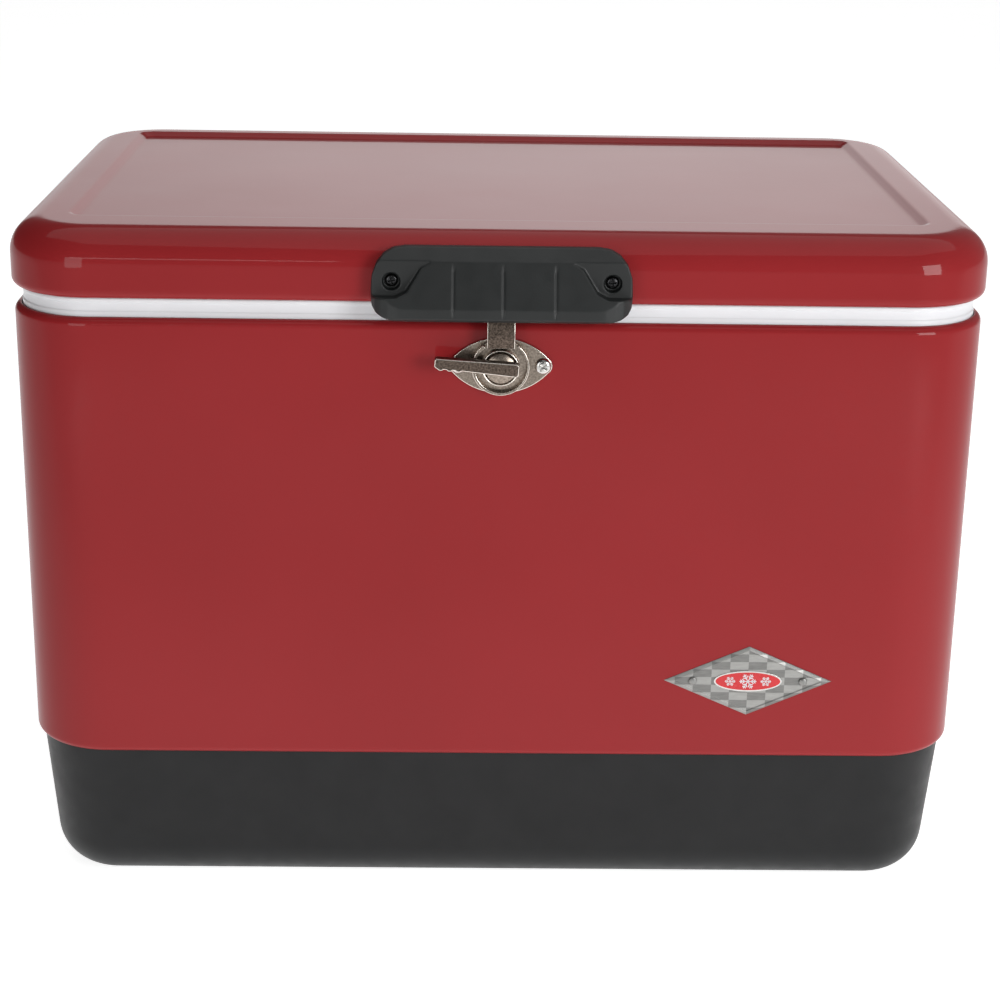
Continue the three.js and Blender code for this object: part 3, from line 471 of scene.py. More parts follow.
def make_lid_skin():
    """The pressed lid: hem, side, rolled edge, margin and sunk panel."""
    plan = lid_plan()
    bottom, top = plan.low.z, plan.high.z
    front_margin = Vector((PANEL_SIDE, PANEL_FRONT, 0))
    back_margin = Vector((PANEL_SIDE, PANEL_BACK, 0))
    panel = Plan(plan.low + front_margin, plan.high - back_margin, PANEL_CORNER)
    rings = [plan.ring(7 * MM, bottom + 0.8 * MM), plan.ring(7 * MM, bottom)]
    rings += plan.roll(0, bottom + LID_HEM, LID_HEM, -90, 0, 8)
    rings += [plan.ring(0, bottom + LID_HEM + 1.5 * MM), plan.ring(0, top - LID_ROLL - 2 * MM)]
    rings += plan.roll(0, top - LID_ROLL, LID_ROLL, 0, 90, 20)
    rings += [plan.ring(LID_ROLL + 1.5 * MM, top), panel.ring(-3 * MM, top)]
    rings += [panel.ring(inset * MM, top - drop * MM) for inset, drop in PANEL_SLOPE]
    skin = loft("lid_skin_shell", rings, cap_last=True)
    return dress(skin, "lid", RED, "red_enamel", "lid_skin")


def make_lid_liner():
    """The white inner pan with its gasket groove and plug."""
    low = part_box("lid_liner")[0]
    skin = lid_plan()
    flange = skin.low.z + 1.1 * MM
    edge = 0.4 * MM
    mouth = Plan(*tub_mouth(), TUB_CORNER)
    rings = [skin.ring(2.2 * MM, flange + 2.5 * MM), skin.ring(2.2 * MM, flange + 2.2 * MM)]
    rings += [skin.ring(6 * MM, flange), skin.ring(GROOVE_OUTER - edge, flange)]
    rings += [skin.ring(GROOVE_OUTER, flange + edge), skin.ring(GROOVE_OUTER, flange + GROOVE_DEPTH)]
    rings += [skin.ring(GROOVE_INNER, flange + GROOVE_DEPTH), skin.ring(GROOVE_INNER, flange + edge)]
    rings += [skin.ring(GROOVE_INNER + edge, flange)]
    rings += [mouth.ring(3 * MM, flange), mouth.ring(3.7 * MM, flange - 0.3 * MM)]
    rings += [mouth.ring(4.2 * MM, flange - 1 * MM)]
    rings += mouth.roll(5 * MM, low.z + 4 * MM, 4 * MM, 0, -90, 6)
    rings += [mouth.ring(14 * MM, low.z), mouth.ring(22 * MM, low.z + 1.2 * MM)]
    rings += [mouth.ring(26 * MM, low.z + 1.4 * MM)]
    liner = loft("lid_liner_pan", rings, cap_last=True)
    return dress(liner, "lid", WHITE, "white_plastic", "lid_liner")


def make_gasket():
    """A soft ring with a rounded sealing face."""
    low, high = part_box("lid_gasket")
    plan = Plan(low, high, LID_CORNER - 10 * MM)
    rings = [plan.ring(inset * MM, low.z + rise * MM) for inset, rise in GASKET_SECTION]
    gasket = loft("lid_gasket_ring", rings)
    return dress(gasket, "lid", WHITE, "white_plastic", "lid_gasket")


def make_grip():
    """The moulded pull, with three shallow creases down its face."""
    grip = remeshed(refined("lid_grip", "lid_grip_pull"), 0.5 * MM, 14)
    low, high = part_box("lid_grip")
    face = low.y + 11 * MM
    start, end = low.z + 2 * MM, high.z - 8 * MM
    fade_length = 5 * MM
    for vertex in grip.data.vertices:
        x, y, z = vertex.co
        if y > face or not start < z < end:
            continue
        fade = min(1, (z - start) / fade_length, (end - z) / fade_length)
        for crease in CREASES:
            off = (x - crease) / CREASE_WIDTH
            vertex.co.y += CREASE_DEPTH * fade * math.exp(-off * off)
    return dress(grip, "lid", GRIP_BLACK, "black_plastic", "lid_grip")


# ---- Body -----------------------------------------------------------------------------------------

BELT_CORNER, BELT_ROLL, BELT_SHEET = 53 * MM, 5 * MM, 0.8 * MM
TUB_CORNER, TUB_DRAFT, TUB_FILLET, TUB_WALL = 30 * MM, 12 * MM, 6 * MM, 2.5 * MM
RIM_WIDTH, RIM_CORNER, RIM_FOOT, LIP = 32 * MM, 48 * MM, 320 * MM, 3 * MM
# The raised band round the rim, as (inset, depth below the top) in mm.
RIM_BAND = ((0.0, 8.9), (0.15, 8.5), (0.5, 8.2), (0.6, 7.7), (0.6, 3.5), (0.5, 3.1), (0.1, 2.8), (0.0, 2.3))
BASE_CORNER, BASE_TAPER, BASE_ROLL = 48.7 * MM, 6 * MM, 31 * MM


def tub_mouth():
    """The lowest and highest corner of the tub's mouth, seen from above."""
    low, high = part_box("tub_liner")
    inset = Vector((RIM_WIDTH, RIM_WIDTH, 0))
    return low + inset, high - inset


def make_belt():
    """The steel belt, rolled in at its upper and lower edges."""
    low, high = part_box("body_belt")
    plan = Plan(low, high, BELT_CORNER)
    lower = low.z + BELT_ROLL * math.sin(math.radians(70))
    upper = high.z - BELT_ROLL * math.sin(math.radians(82))
    rings = plan.roll(BELT_SHEET, lower, BELT_ROLL - BELT_SHEET, -20, -70, 3)
    rings += plan.roll(0, lower, BELT_ROLL, -70, 0, 8)
    rings += [plan.ring(0, lower + 2 * MM), plan.ring(0, upper - 2 * MM)]
    rings += plan.roll(0, upper, BELT_ROLL, 0, 82, 10)
    rings += plan.roll(BELT_SHEET, upper, BELT_ROLL - BELT_SHEET, 82, 10, 4)
    belt = loft("body_belt_sheet", rings)
    return dress(belt, "body", RED, "red_enamel", "body_belt")


def cut_round(piece, place, radius, length):
    """Drills a round hole through a closed piece along Z of the place."""
    middle = 0.0001 * MM
    profile = ((middle, 0), (radius, 0), (radius, length), (middle, length))
    drill = turned("drill", profile, 48, place)
    work = bmesh.new()
    work.from_mesh(drill.data)
    bmesh.ops.remove_doubles(work, verts=work.verts, dist=1e-6)
    work.to_mesh(drill.data)
    work.free()
    cutter = piece.modifiers.new("hole", "BOOLEAN")
    cutter.operation = "DIFFERENCE"
    cutter.solver = "MANIFOLD"
    cutter.object = drill
    applied(piece)
    bpy.data.objects.remove(drill)
    return piece


def make_tub():
    """The tank: a banded rim, a rounded lip, drafted walls and a flat floor."""
    low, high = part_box("tub_liner")
    rim = Plan(low, high, RIM_CORNER)
    mouth = Plan(*tub_mouth(), TUB_CORNER)
    top = high.z
    floor = low.z + TUB_WALL
    outer = TUB_FILLET + TUB_WALL

    def wall(inset, level):
        return mouth.ring(inset, level)

    rings = [wall(TUB_DRAFT + TUB_FILLET, low.z), wall(TUB_DRAFT - TUB_WALL, floor + outer)]
    rings += [wall(-TUB_WALL, top - TUB_WALL), rim.ring(TUB_WALL, top - TUB_WALL)]
    rings += [rim.ring(TUB_WALL, low.z + RIM_FOOT), rim.ring(0, low.z + RIM_FOOT)]
    rings += [rim.ring(inset * MM, top - depth * MM) for inset, depth in RIM_BAND]
    rings += rim.roll(0, top - 1.3 * MM, 1.3 * MM, 0, 90, 5)
    rings += [rim.ring(3 * MM, top), wall(-4 * MM, top)]
    for step in range(7):
        angle = math.radians(90 - 90 * step / 6)
        rings.append(wall(-LIP * (1 - math.cos(angle)), top - LIP * (1 - math.sin(angle))))
    rings += [wall(TUB_DRAFT, floor + TUB_FILLET)]
    for step in range(1, 7):
        angle = math.radians(90 * step / 6)
        inset = TUB_DRAFT + TUB_FILLET * (1 - math.cos(angle))
        rings.append(wall(inset, floor + TUB_FILLET * (1 - math.sin(angle))))
    rings += [wall(TUB_DRAFT + TUB_FILLET + 3 * MM, floor)]
    tub = loft("tub_tank", rings, cap_first=True, cap_last=True)
    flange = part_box("drain_tube")[0].x
    hole = frame_at(Vector((flange - 14 * MM, 0, centre("drain_tube").z)), RIGHT)
    cut_round(tub, hole, 12.9 * MM, 21 * MM)
    return dress(tub, "body", WHITE, "white_plastic", "tub_liner")


def make_base():
    """The tapered tray, rounded at the floor, with a round boss for the drain."""
    low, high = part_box("base_tray")
    half = Vector((-low.x, -low.y, 0))
    plan = Plan(Vector((-half.x, -half.y, 0)), half, BASE_CORNER)
    rings = [plan.ring(2 * MM, high.z), plan.ring(0.4 * MM, high.z - 0.4 * MM)]
    rings += [plan.ring(0, high.z - 1.5 * MM)]
    rings += [plan.ring(0, 99 * MM), plan.ring(0.15 * MM, 97 * MM), plan.ring(0.35 * MM, 94.8 * MM)]
    rings += plan.roll(BASE_TAPER, BASE_ROLL, BASE_ROLL, -4, -90, 18)
    rings += [plan.ring(BASE_TAPER + BASE_ROLL + 3 * MM, 0)]
    tray = loft("base_tray_shell", [list(reversed(ring)) for ring in rings], cap_last=True)
    dress(tray, "body", BLACK, "black_plastic", "base_tray")
    boss = frame_at(Vector((high.x - 9 * MM, 0, centre("drain_tube").z)), RIGHT)
    profile = rounded(((17.8 * MM, 0), (17 * MM, 9 * MM), (8 * MM, 9 * MM)), 1.2 * MM)
    return dress(turned("drain_boss", profile, 64, boss), "body", BLACK, "black_plastic")


# ---- Fasteners ------------------------------------------------------------------------------------

# A cross recess in a head of unit radius: half an arm's width, its reach, its sloped side and its depth.
ARM_HALF, ARM_REACH, ARM_SLOPE, ARM_DEPTH = 0.09, 0.56, 0.05, 0.34
# The radius of the latch's wide heads, as a share of the CAD head's width.
WIDE_HEAD = 0.6


def head_mesh(name, height, recessed):
    """A pan head of unit radius standing on z = 0, with a cross recess or plain."""
    radial, around = 26, 96
    points, faces = [Vector((0, 0, -0.1))], []
    for ring in range(1, radial + 1):
        r = ring / radial
        for step in range(around):
            angle = 2 * math.pi * step / around
            x, y = r * math.cos(angle), r * math.sin(angle)
            z = height * (1 - r ** 3.2) ** 0.5
            upright = max(abs(x) - ARM_HALF, abs(y) - ARM_REACH)
            level = max(abs(y) - ARM_HALF, abs(x) - ARM_REACH)
            outside = min(upright, level)
            if recessed and outside < ARM_SLOPE:
                z -= ARM_DEPTH * min(1, (ARM_SLOPE - outside) / ARM_HALF) * (1 - 0.55 * r)
            points.append(Vector((x, y, z)))
    points[0].z = height - ARM_DEPTH if recessed else height
    for step in range(around):
        faces.append((0, 1 + step, 1 + (step + 1) % around))
    for ring in range(radial - 1):
        a, b = 1 + ring * around, 1 + (ring + 1) * around
        for step in range(around):
            after = (step + 1) % around
            faces.append((a + step, b + step, b + after, a + after))
    holder = mesh_piece(name, points, faces)
    data = holder.data
    bpy.data.objects.remove(holder)
    return data


def fastener_side(node):
    """The face that a fastener stands on, and which end of its box that face looks to."""
    if node.startswith("hinge"):
        return BACK, "hi"
    if node.startswith("handle_screw_left"):
        return LEFT, "lo"
    if node.startswith("handle_screw_right"):
        return RIGHT, "hi"
    return FRONT, "lo"


def fastener_slot(node):
    """The finish of a fastener."""
    if node.startswith("badge"):
        return "badge_steel"
    return "black_steel" if node.startswith("lid_grip") else "nickel_steel"


def make_fasteners():
    """Every screw and rivet head, each where its CAD node's head is."""
    screw, rivet = head_mesh("screw_head", 0.5, True), head_mesh("rivet_head", 0.3, False)
    for node in sorted(frame["nodes"]):
        if "screw" not in node and "rivet" not in node:
            continue
        outward, end = fastener_side(node)
        low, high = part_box(node)
        axis = 0 if abs(outward.x) > 0.5 else 1
        span = high[2] - low[2]
        seat = centre(node)
        seat[axis] = (high if end == "hi" else low)[axis] - outward[axis] * span / 4
        piece = add_object(node + "_head", (screw if "screw" in node else rivet).copy())
        spin = Matrix.Rotation(random.uniform(0, math.pi / 2), 4, "Z")
        size = span * (WIDE_HEAD if node.startswith("latch") else 0.5)
        piece.matrix_world = frame_at(seat, outward) @ spin @ Matrix.Scale(size, 4)
        body = "lid" if node in frame["record"]["behaviour"]["bodies"]["lid"] else "body"
        look = {"lid_grip": BLACK_STEEL, "badge_ri": RIVET_STEEL}.get(node[:8], BRIGHT)
        dress(piece, body, look, fastener_slot(node), node)


# ---- Latch ----------------------------------------------------------------------------------------

# The cam's dish and its hub, and the open wall on the dish, which thins from one end to the other.
CAM_RIM, HUB_RADIUS = 17.6, 11.6
WALL_START, WALL_END, WALL_INSIDE, WALL_THINNING, WALL_STEPS = 127.0, 413.0, 15.3, 1.1, 70
# The lever: its tilt, how far out and above the middle it lies, and its scallops.
LEVER_TILT, LEVER_OUT, LEVER_RISE, LEVER_THICK = math.radians(-4.6), 9.4 * MM, 1.2 * MM, 6.8 * MM
SCALLOPS, SCALLOP_RADIUS, SCALLOP_DROP = (-36.5, -31.0, -25.5), 2.6, 1.4
WORN_HIGHLIT_WIDTH = 0.55 * MM


def latch_axis():
    """Where the latch turns, on the belt's front face."""
    joint = next(j for j in frame["joints"] if j["name"] == "latch_turn")
    return frame_at(Vector(joint["pos_m"]), FRONT)


def arc_points(x, y, radius, start, end, steps):
    """Points along an arc, from one angle in degrees to another."""
    angles = [math.radians(start + (end - start) * s / steps) for s in range(steps + 1)]
    return [(x + radius * math.cos(a), y + radius * math.sin(a)) for a in angles]


def make_latch_plate():
    """The pointed oval base plate."""
    low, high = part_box("latch_plate")
    half, rise = (high.x - low.x) / 2 + 2 * MM, (high.z - low.z) / 2
    radius = (half ** 2 + rise ** 2) / (2 * rise)
    drop = radius - rise
    tip_x = half - 3.6 * MM
    reach = math.degrees(math.asin(tip_x / radius))
    edge = math.sqrt(radius ** 2 - tip_x ** 2) - drop
    upper = arc_points(0, -drop, radius, 90 - reach, 90 + reach, 36)
    lower = arc_points(0, drop, radius, 270 - reach, 270 + reach, 36)
    turns = (1, 0.75, 0.5, 0.25, 0)
    blunt = [(4.8 * MM * (math.cos(a) - 0.5), 1.15 * edge * math.sin(a)) for a in turns]
    blunt += [(x, -y) for x, y in reversed(blunt[:-1])]
    left_tip = [(-tip_x - x, y) for x, y in blunt]
    right_tip = [(tip_x + x, -y) for x, y in blunt]
    place = latch_axis() @ Matrix.Translation((0, 0, 0.3 * MM))
    plate = plate_piece("latch_plate_pressing", upper + left_tip + lower + right_tip, 1.5 * MM, place)
    # The plate's rounded edges take the bright material: a painted highlight, partly wear.
    soften(plate, WORN_HIGHLIT_WIDTH, 2, 50, worn_and_highlit=True)
    return dress(plate, "body", NICKEL, "nickel_steel", "latch_plate", edges=WORN_AND_HIGHLIT)


def make_cam():
    """The dish with its open spiral wall, and the raised hub."""
    place = latch_axis()
    dish = [(0.01, 2.1), (CAM_RIM - 0.5, 2.1), (CAM_RIM, 2.5), (CAM_RIM, 3.2), (CAM_RIM - 0.4, 3.6)]
    dish += [(HUB_RADIUS, 3.6), (HUB_RADIUS, 7.6), (HUB_RADIUS - 0.3, 8.3), (HUB_RADIUS - 0.8, 8.6)]
    dish += [(HUB_RADIUS - 1.3, 8.3), (HUB_RADIUS - 1.6, 7.7), (9.5, 7.3), (8.5, 7.2), (0.01, 7.2)]
    profile = [(r * MM, z * MM) for r, z in dish]
    hub = turned("latch_cam_dish", rounded(profile, 0.3 * MM, 3), 96, place)
    outer = arc_points(0, 0, CAM_RIM * MM, WALL_START, WALL_END, WALL_STEPS)
    inner = []
    for step in range(WALL_STEPS, -1, -1):
        angle = math.radians(WALL_START + (WALL_END - WALL_START) * step / WALL_STEPS)
        radius = (WALL_INSIDE + WALL_THINNING * step / WALL_STEPS) * MM
        inner.append((radius * math.cos(angle), radius * math.sin(angle)))
    foot = place @ Matrix.Translation((0, 0, 3.3 * MM))
    wall = plate_piece("latch_cam_wall", outer + inner, 3.8 * MM, foot)
    # The wall's rounded edges take the bright material: a painted highlight, partly wear.
    soften(wall, 0.4 * MM, 2, 50, worn_and_highlit=True)
    dress(wall, "latch", NICKEL, "nickel_steel", edges=WORN_AND_HIGHLIT)
    dress(hub, "latch", NICKEL, "nickel_steel", "latch_cam", "latch_pivot", edges=WORN_AND_HIGHLIT)
    # The hub's raised rim faces take the bright material: a painted highlight along the ring, partly wear.
    rim_front = FRONT.dot(place.translation) + 8.05 * MM
    for face in hub.data.polygons:
        face.material_index = int(FRONT.dot(face.center) > rim_front)


def make_lever():
    """The bar of the latch on its round foot, scalloped for the fingers near its tip."""
    tilt = Matrix.Rotation(LEVER_TILT, 4, "Z")
    place = latch_axis() @ tilt @ Matrix.Translation((0, LEVER_RISE, LEVER_OUT))
    outline = [(9.8, -4.1), (11, -3), (11, 3), (9.8, 4.1), (-39.5, 3.3), (-40.5, 2.3), (-40.5, -2.0)]
    for across in SCALLOPS:
        outline += arc_points(across, -SCALLOP_DROP, SCALLOP_RADIUS, 222, 318, 4)
    outline = [(x * MM, y * MM) for x, y in outline]
    bar = plate_piece("latch_lever_bar", outline, LEVER_THICK, place)
    # The bar's rounded edges take the bright material: a painted highlight, partly wear.
    soften(bar, WORN_HIGHLIT_WIDTH, 2, 50, worn_and_highlit=True)
    foot = [(0.01, 7.5), (9.4, 7.5), (9.4, 9.2), (9.0, 9.7), (0.01, 9.7)]
    foot = [(r * MM, z * MM) for r, z in foot]
    dress(turned("latch_lever_foot", foot, 72, latch_axis()), "latch", NICKEL, "nickel_steel")
    # The bar is in the darker nickel: a painted dark reflection.
    return dress(bar, "latch", SHADED_NICKEL, "nickel_steel", "latch_lever", edges=WORN_AND_HIGHLIT)


def make_strike():
    """The strap that hangs from the lid, bent back above its hook."""
    strike = refined("latch_strike", "latch_strike_strap")
    bend, bend_back = 12 * MM, 1.7 * MM
    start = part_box("latch_strike")[0].z + bend
    for vertex in strike.data.vertices:
        if start < vertex.co.z < start + bend:
            vertex.co.y += bend_back
    # The strap's rounded edges take the bright material: a painted highlight, partly wear.
    soften(strike, 0.45 * MM, 2, 50, worn_and_highlit=True)
    # The strap is in the darker nickel: painted shade and dark reflection under the grip.
    return dress(strike, "lid", SHADED_NICKEL, "nickel_steel", "latch_strike", edges=WORN_AND_HIGHLIT)


# ---- Badge ----------------------------------------------------------------------------------------

# The stamping from the middle to the edge, as (share of the way out, share of its thickness).
STAMPING = ((0.0, 0.5), (0.865, 0.5), (0.885, 1.0), (0.9, 1.0), (0.985, 0.25), (1.0, 0.0))
STAMPING_STEPS = 200
# A snowflake's strokes in mm on one upright arm, as (x0, y0, x1, y1), with half a stroke's width.
STROKES = ((0, 0, 0, 5.2), (0, 2.0, 1.5, 3.5), (0, 2.0, -1.5, 3.5), (0, 3.5, 1.1, 4.6), (0, 3.5, -1.1, 4.6))
STROKE_HALF = 0.27 * MM
# Half the oval's width and height, and where its snowflakes lie, with their sizes.
OVAL_HALF, OVAL_RISE = 22 * MM, 7.2 * MM
FLAKES = ((-11.5, 0.66), (0, 1.05), (11.5, 0.66))


def stamped(edge):
    """How far the badge stands off, as a share of its thickness. edge is 0 in the middle, 1 at the rim."""
    for (start, low), (end, high) in zip(STAMPING, STAMPING[1:]):
        if edge <= end:
            return low + (high - low) * (edge - start) / (end - start)
    return 0.0


def make_badge():
    """The stamped diamond with a raised border."""
    low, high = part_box("badge_plate")
    middle = (low + high) / 2
    half, rise, thick = (high.x - low.x) / 2, (high.z - low.z) / 2, high.y - low.y
    steps = STAMPING_STEPS
    points, faces = [], []
    for i in range(steps + 1):
        for k in range(steps + 1):
            s, t = 2 * i / steps - 1, 2 * k / steps - 1
            edge = max(abs(s), abs(t))
            lift = thick * stamped(edge)
            points.append(Vector((half * (s + t) / 2, -lift, rise * (s - t) / 2)))
    for i in range(steps):
        for k in range(steps):
            a = i * (steps + 1) + k
            faces.append((a, a + steps + 1, a + steps + 2, a + 1))
    badge = mesh_piece("badge_diamond", points, faces)
    badge.location = Vector((middle.x, high.y, middle.z))
    dress(badge, "body", BADGE, "badge_steel", "badge_plate")
    make_emblem(Vector((middle.x, high.y - 0.5 * thick, middle.z)))


def add_snowflake(arms, place):
    """Six thin branched arms, raised a little from the face that they lie on."""
    low, high = FRONT * 0.4 * MM, FRONT * 0.62 * MM
    for arm in range(6):
        turn = Matrix.Rotation(math.pi / 6 + arm * math.pi / 3, 4, "Z")
        for x0, y0, x1, y1 in STROKES:
            start, end = Vector((x0, y0, 0)) * MM, Vector((x1, y1, 0)) * MM
            side = (end - start).normalized().cross(Vector((0, 0, 1))) * STROKE_HALF
            outline = [place @ (turn @ p) for p in (start - side, end - side, end + side, start + side)]
            under = [arms.verts.new(p + low) for p in outline]
            face = [arms.verts.new(p + high) for p in outline]
            arms.faces.new(face)
            for k in range(4):
                after = (k + 1) % 4
                arms.faces.new((under[k], under[after], face[after], face[k]))


def make_emblem(seat):
    """A plain red oval with a row of three snowflakes."""
    place = frame_at(seat, FRONT)
    oval = [(OVAL_HALF * x, OVAL_RISE * y) for x, y in arc_points(0, 0, 1, 0, 360, 72)[:-1]]
    border = plate_piece("badge_oval_border", oval, 0.4 * MM, place)
    soften(border, 0.2 * MM, 2, 50)
    dress(border, "body", BRIGHT, "badge_steel")
    inside = [(x * 0.95, y * 0.86) for x, y in oval]
    field = plate_piece("badge_oval_field", inside, 0.5 * MM, place)
    soften(field, 0.15 * MM, 2, 50)
    dress(field, "body", BADGE_RED, "red_enamel")
    arms = bmesh.new()
    for across, size in FLAKES:
        flake = place @ Matrix.Translation((across * MM, 0, 0)) @ Matrix.Scale(size, 4)
        add_snowflake(arms, flake)
    data = bpy.data.meshes.new("badge_snowflake")
    bmesh.ops.recalc_face_normals(arms, faces=arms.faces)
    arms.to_mesh(data)
    arms.free()
    dress(add_object("badge_snowflake", data), "body", WHITE, "white_plastic")


# ---- Handles, hinges and drain --------------------------------------------------------------------

# The wire's half length, its bends, and the sleeve's waves: how many, how deep, in how many steps.
WIRE_ARM, EYE_BEND, HAND_BEND = 60 * MM, 5 * MM, 11 * MM
WAVES, WAVE_DEPTH, WAVE_STEPS = 4, 0.8 * MM, 48
# The outlet tube's bore and outside, and its flange, then the cap and its bore.
TUBE_BORE, TUBE_OUTSIDE, FLANGE_RADIUS, FLANGE_THICK = 7 * MM, 9 * MM, 12.7 * MM, 4.2 * MM
CAP_RADIUS, CAP_BORE = 13.4 * MM, 9.4 * MM


def make_handle(side):
    """One end's swinging wire, its finger grip and its two brackets."""
    low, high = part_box(f"handle_bail_{side}")
    rod = (high.x - low.x) / 2
    x = (low.x + high.x) / 2
    top, bottom = high.z - rod, low.z + rod
    arm = WIRE_ARM
    stops = ((low.y, top), (-arm, top), (-arm, bottom), (arm, bottom), (arm, top), (high.y, top))
    corners = [Vector((x, y, z)) for y, z in stops]
    bends = (EYE_BEND, HAND_BEND, HAND_BEND, EYE_BEND)
    bail = swept(f"handle_wire_{side}", filleted(corners, bends), rod)
    dress(bail, f"handle_{side}", BRIGHT, "nickel_steel", f"handle_bail_{side}")
    low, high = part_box(f"handle_grip_{side}")
    half, radius = (high.y - low.y) / 2, (high.z - low.z) / 2
    waist = radius - WAVE_DEPTH
    profile = [(rod, -half), (radius - 3 * MM, -half), (waist, -half + 1.2 * MM), (radius, -half + 4 * MM)]
    for step in range(WAVE_STEPS + 1):
        share = step / WAVE_STEPS
        z = (half - 5 * MM) * (2 * share - 1)
        profile.append((waist + WAVE_DEPTH * math.cos(2 * math.pi * WAVES * share), z))
    profile += [(radius, half - 4 * MM), (waist, half - 1.2 * MM), (radius - 3 * MM, half), (rod, half)]
    along = Matrix.Rotation(-math.pi / 2, 4, "X")
    place = Matrix.Translation((low + high) / 2) @ along
    ribs = (28, 0.25 * MM, -half + 6 * MM, half - 6 * MM)
    grip = turned(f"handle_grip_sleeve_{side}", profile, 56, place, ribs)
    dress(grip, f"handle_{side}", GRIP_BLACK, "black_plastic", f"handle_grip_{side}")
    for end in ("front", "back"):
        node = f"handle_bracket_{side}_{end}"
        bracket = soften(refined(node, node + "_casting"), 0.5 * MM, 3, 32)
        dress(bracket, "body", BRIGHT, "nickel_steel", node)


def make_hinge(side):
    """One hinge: a leaf on the body, a leaf on the lid, and the pin."""
    for node, body in ((f"hinge_body_leaf_{side}", "body"), (f"hinge_lid_leaf_{side}", "lid")):
        leaf = soften(refined(node, node + "_plate"), 0.3 * MM, 3, 35)
        dress(leaf, body, BRIGHT, "nickel_steel", node)
    low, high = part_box(f"hinge_pin_{side}")
    radius = (high.z - low.z) / 2
    length = high.x - low.x
    place = frame_at(Vector((low.x, (low.y + high.y) / 2, (low.z + high.z) / 2)), RIGHT)
    profile = [(0.01 * MM, 0), (radius, 0), (radius, length), (0.01 * MM, length)]
    pin = turned(f"hinge_pin_rod_{side}", rounded(profile, 0.5 * MM), 32, place)
    dress(pin, "body", BRIGHT, "nickel_steel", f"hinge_pin_{side}")


def make_drain():
    """The outlet tube, its washer and nut, and the ribbed screw cap."""
    low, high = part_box("drain_tube")
    axis = frame_at(Vector((low.x, 0, (low.z + high.z) / 2)), RIGHT)
    length = high.x - low.x
    profile = [(TUBE_BORE, 0), (FLANGE_RADIUS - 0.7 * MM, 0), (FLANGE_RADIUS, 1 * MM)]
    profile += [(FLANGE_RADIUS, FLANGE_THICK), (TUBE_OUTSIDE, FLANGE_THICK)]
    profile += [(TUBE_OUTSIDE, length - 1 * MM), (TUBE_OUTSIDE - 0.6 * MM, length)]
    profile += [(TUBE_BORE, length), (TUBE_BORE, 0)]
    tube = turned("drain_outlet_tube", rounded(profile, 0.5 * MM), 64, axis)
    dress(tube, "body", WHITE, "white_plastic", "drain_tube")
    for node, look, slot in (("drain_washer", RUBBER, "rubber"), ("drain_nut", WHITE, "white_plastic")):
        dress(soften(refined(node, node + "_turned"), 0.5 * MM, 3, 35), "body", look, slot, node)
    low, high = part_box("drain_cap")
    axis = frame_at(Vector((low.x, 0, (low.z + high.z) / 2)), RIGHT)
    depth = high.x - low.x
    radius, face = CAP_RADIUS, depth - 0.6 * MM
    profile = [(CAP_BORE, 6 * MM), (CAP_BORE, 0), (radius - 0.8 * MM, 0), (radius, 1 * MM)]
    profile += [(radius, 2.5 * MM), (radius, depth - 2.2 * MM), (radius - 0.7 * MM, face)]
    profile += [(radius - 2.4 * MM, depth), (radius - 4 * MM, depth - 0.1 * MM)]
    profile += [(radius - 4.6 * MM, face), (0.01 * MM, face)]
    ribs = (18, 0.8 * MM, 2 * MM, depth - 2 * MM)
    cap = turned("drain_screw_cap", rounded(profile, 0.6 * MM), 144, axis, ribs)
    dress(cap, "cap", WHITE, "white_plastic", "drain_cap")


def finish_hidden_nodes():
    """Materials for the CAD nodes that stay: the foam and the cap's seal."""
    looks = {"body_foam": FOAM, "lid_foam": FOAM, "drain_cap_seal": RUBBER}
    for node, look in looks.items():
        for slot in frame["nodes"][node].material_slots:
            slot.material = look


# ---- Studio ---------------------------------------------------------------------------------------

CAMERA_PLACE = (-0.02485, -1.48535, 0.70848)
CAMERA_PITCH, CAMERA_YAW, CAMERA_ROLL = math.radians(18.62), math.radians(-1.157), math.radians(0.951)
LENS, SENSOR = 78.14, 36
FLOOR_HALF, FLOOR_DROP = 14.0, 0.4 * MM


def make_camera():
    """A long lens in front of the chest, a little above it."""
    data = bpy.data.cameras.new("camera")
    data.lens = LENS
    data.sensor_width = SENSOR
    data.clip_start, data.clip_end = 0.05, 60
    camera = add_object("camera", data)
    turn = Matrix.Rotation(CAMERA_YAW, 4, "Z") @ Matrix.Rotation(math.pi / 2 - CAMERA_PITCH, 4, "X")
    turn = turn @ Matrix.Rotation(CAMERA_ROLL, 4, "Z")
    camera.matrix_world = Matrix.Translation(CAMERA_PLACE) @ turn
    bpy.context.scene.camera = camera


def area_light(name, where, aim, width, height, radiance):
    """A softbox of the given size and brightness, facing a point."""
    data = bpy.data.lights.new(name, "AREA")
    data.shape = "RECTANGLE"
    data.size, data.size_y = width, height
    data.energy = radiance * width * height * math.pi
    light = add_object(name, data)
    light.location = where
    light.rotation_mode = "QUATERNION"
    light.rotation_quaternion = (Vector(aim) - Vector(where)).to_track_quat("-Z", "Y")


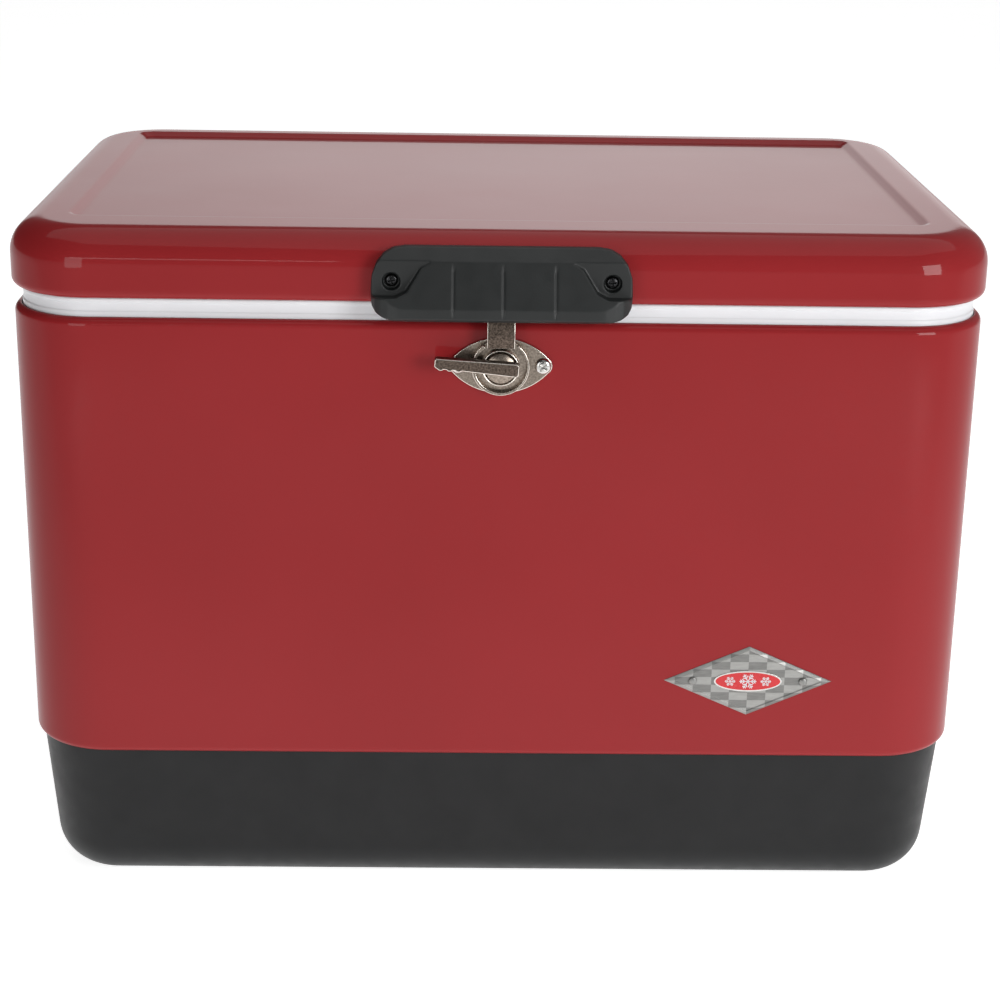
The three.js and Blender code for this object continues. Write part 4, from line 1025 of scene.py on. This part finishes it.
def make_world():
    """Bright behind, most of all low down, and dim in front, with less light from the left."""
    world = bpy.data.worlds.new("studio")
    world.use_nodes = True
    tree = world.node_tree
    sky = tree.nodes["Background"]
    sky.inputs["Color"].default_value = (1, 1, 1, 1)
    place = tree.nodes.new("ShaderNodeTexCoord")
    axes = tree.nodes.new("ShaderNodeSeparateXYZ")
    tree.links.new(place.outputs["Generated"], axes.inputs["Vector"])

    side = smooth_step(tree, axes.outputs["X"], -0.9, 0.9, 0.02, 0.28)
    behind = smooth_step(tree, axes.outputs["Y"], 0.92, 0.965, 0.0, 1.0)
    blend = tree.nodes.new("ShaderNodeMix")
    tree.links.new(behind, blend.inputs["Factor"])
    tree.links.new(side, blend.inputs["A"])
    height = smooth_step(tree, axes.outputs["Z"], 0.24, 0.42, 1.65, 1.0)
    across = smooth_step(tree, axes.outputs["X"], -0.3, 0.1, 0.75, 1.0)
    far = arithmetic(tree, "MULTIPLY", height, across)
    tree.links.new(far, blend.inputs["B"])
    tree.links.new(blend.outputs["Result"], sky.inputs["Strength"])
    bpy.context.scene.world = world


def make_floor():
    """A pale floor with a faint glow, which fades a little towards the front and the sides."""
    corners = ((-1, -1), (1, -1), (1, 1), (-1, 1))
    points = [Vector((x * FLOOR_HALF, y * FLOOR_HALF, -FLOOR_DROP)) for x, y in corners]
    floor = mesh_piece("floor", points, [(0, 1, 2, 3)])
    made, tree, surface = new_material("pale_floor", Roughness=0.75, Specular_IOR_Level=0.2)
    surface.inputs["Emission Color"].default_value = (1, 1, 1, 1)
    place = tree.nodes.new("ShaderNodeTexCoord")
    axes = tree.nodes.new("ShaderNodeSeparateXYZ")
    tree.links.new(place.outputs["Object"], axes.inputs["Vector"])
    grain = between(tree, noise(tree, 1.5), -0.01, 0.01)
    near = smooth_step(tree, axes.outputs["Y"], -0.9, -0.31, 0.45, 0.84)
    reach = arithmetic(tree, "ADD", axes.outputs["Y"], 1.5)
    spread = arithmetic(tree, "DIVIDE", axes.outputs["X"], reach)
    aside = smooth_step(tree, arithmetic(tree, "ABSOLUTE", spread), 0.25, 1.2, 1.0, 0.75)
    glow = arithmetic(tree, "MULTIPLY", near, aside)
    shade = arithmetic(tree, "ADD", near, grain)
    tone = colours(tree, shade, (0.70, 0.70, 0.70), (0.80, 0.80, 0.80), 0.5, 0.8)
    join_to(tree, surface, Base_Color=tone, Emission_Strength=glow)
    floor.data.materials.append(made)


def make_lights():
    """Two softboxes and a strip in front, and a large soft light overhead."""
    target = (0, -0.1, 0.3)
    area_light("right_softbox", (1.0, -1.35, 0.62), target, 0.6, 0.7, 8.6)
    area_light("left_softbox", (-0.80, -1.38, 0.46), target, 0.5, 0.6, 3.0)
    area_light("left_strip", (-0.62, -1.75, 0.86), target, 0.9, 0.08, 3.8)
    area_light("overhead", (0.1, 0.1, 2.3), (0, 0, 0), 3.2, 3.0, 0.78)


# ---- Build ----------------------------------------------------------------------------------------

make_lid_skin()
make_lid_liner()
make_gasket()
make_grip()
make_belt()
make_tub()
make_base()
make_fasteners()
make_latch_plate()
make_cam()
make_lever()
make_strike()
make_badge()
make_handle("left")
make_handle("right")
make_hinge("left")
make_hinge("right")
make_drain()
finish_hidden_nodes()
make_camera()
make_world()
make_floor()
make_lights()
bpy.context.scene.view_settings.view_transform = "Standard"
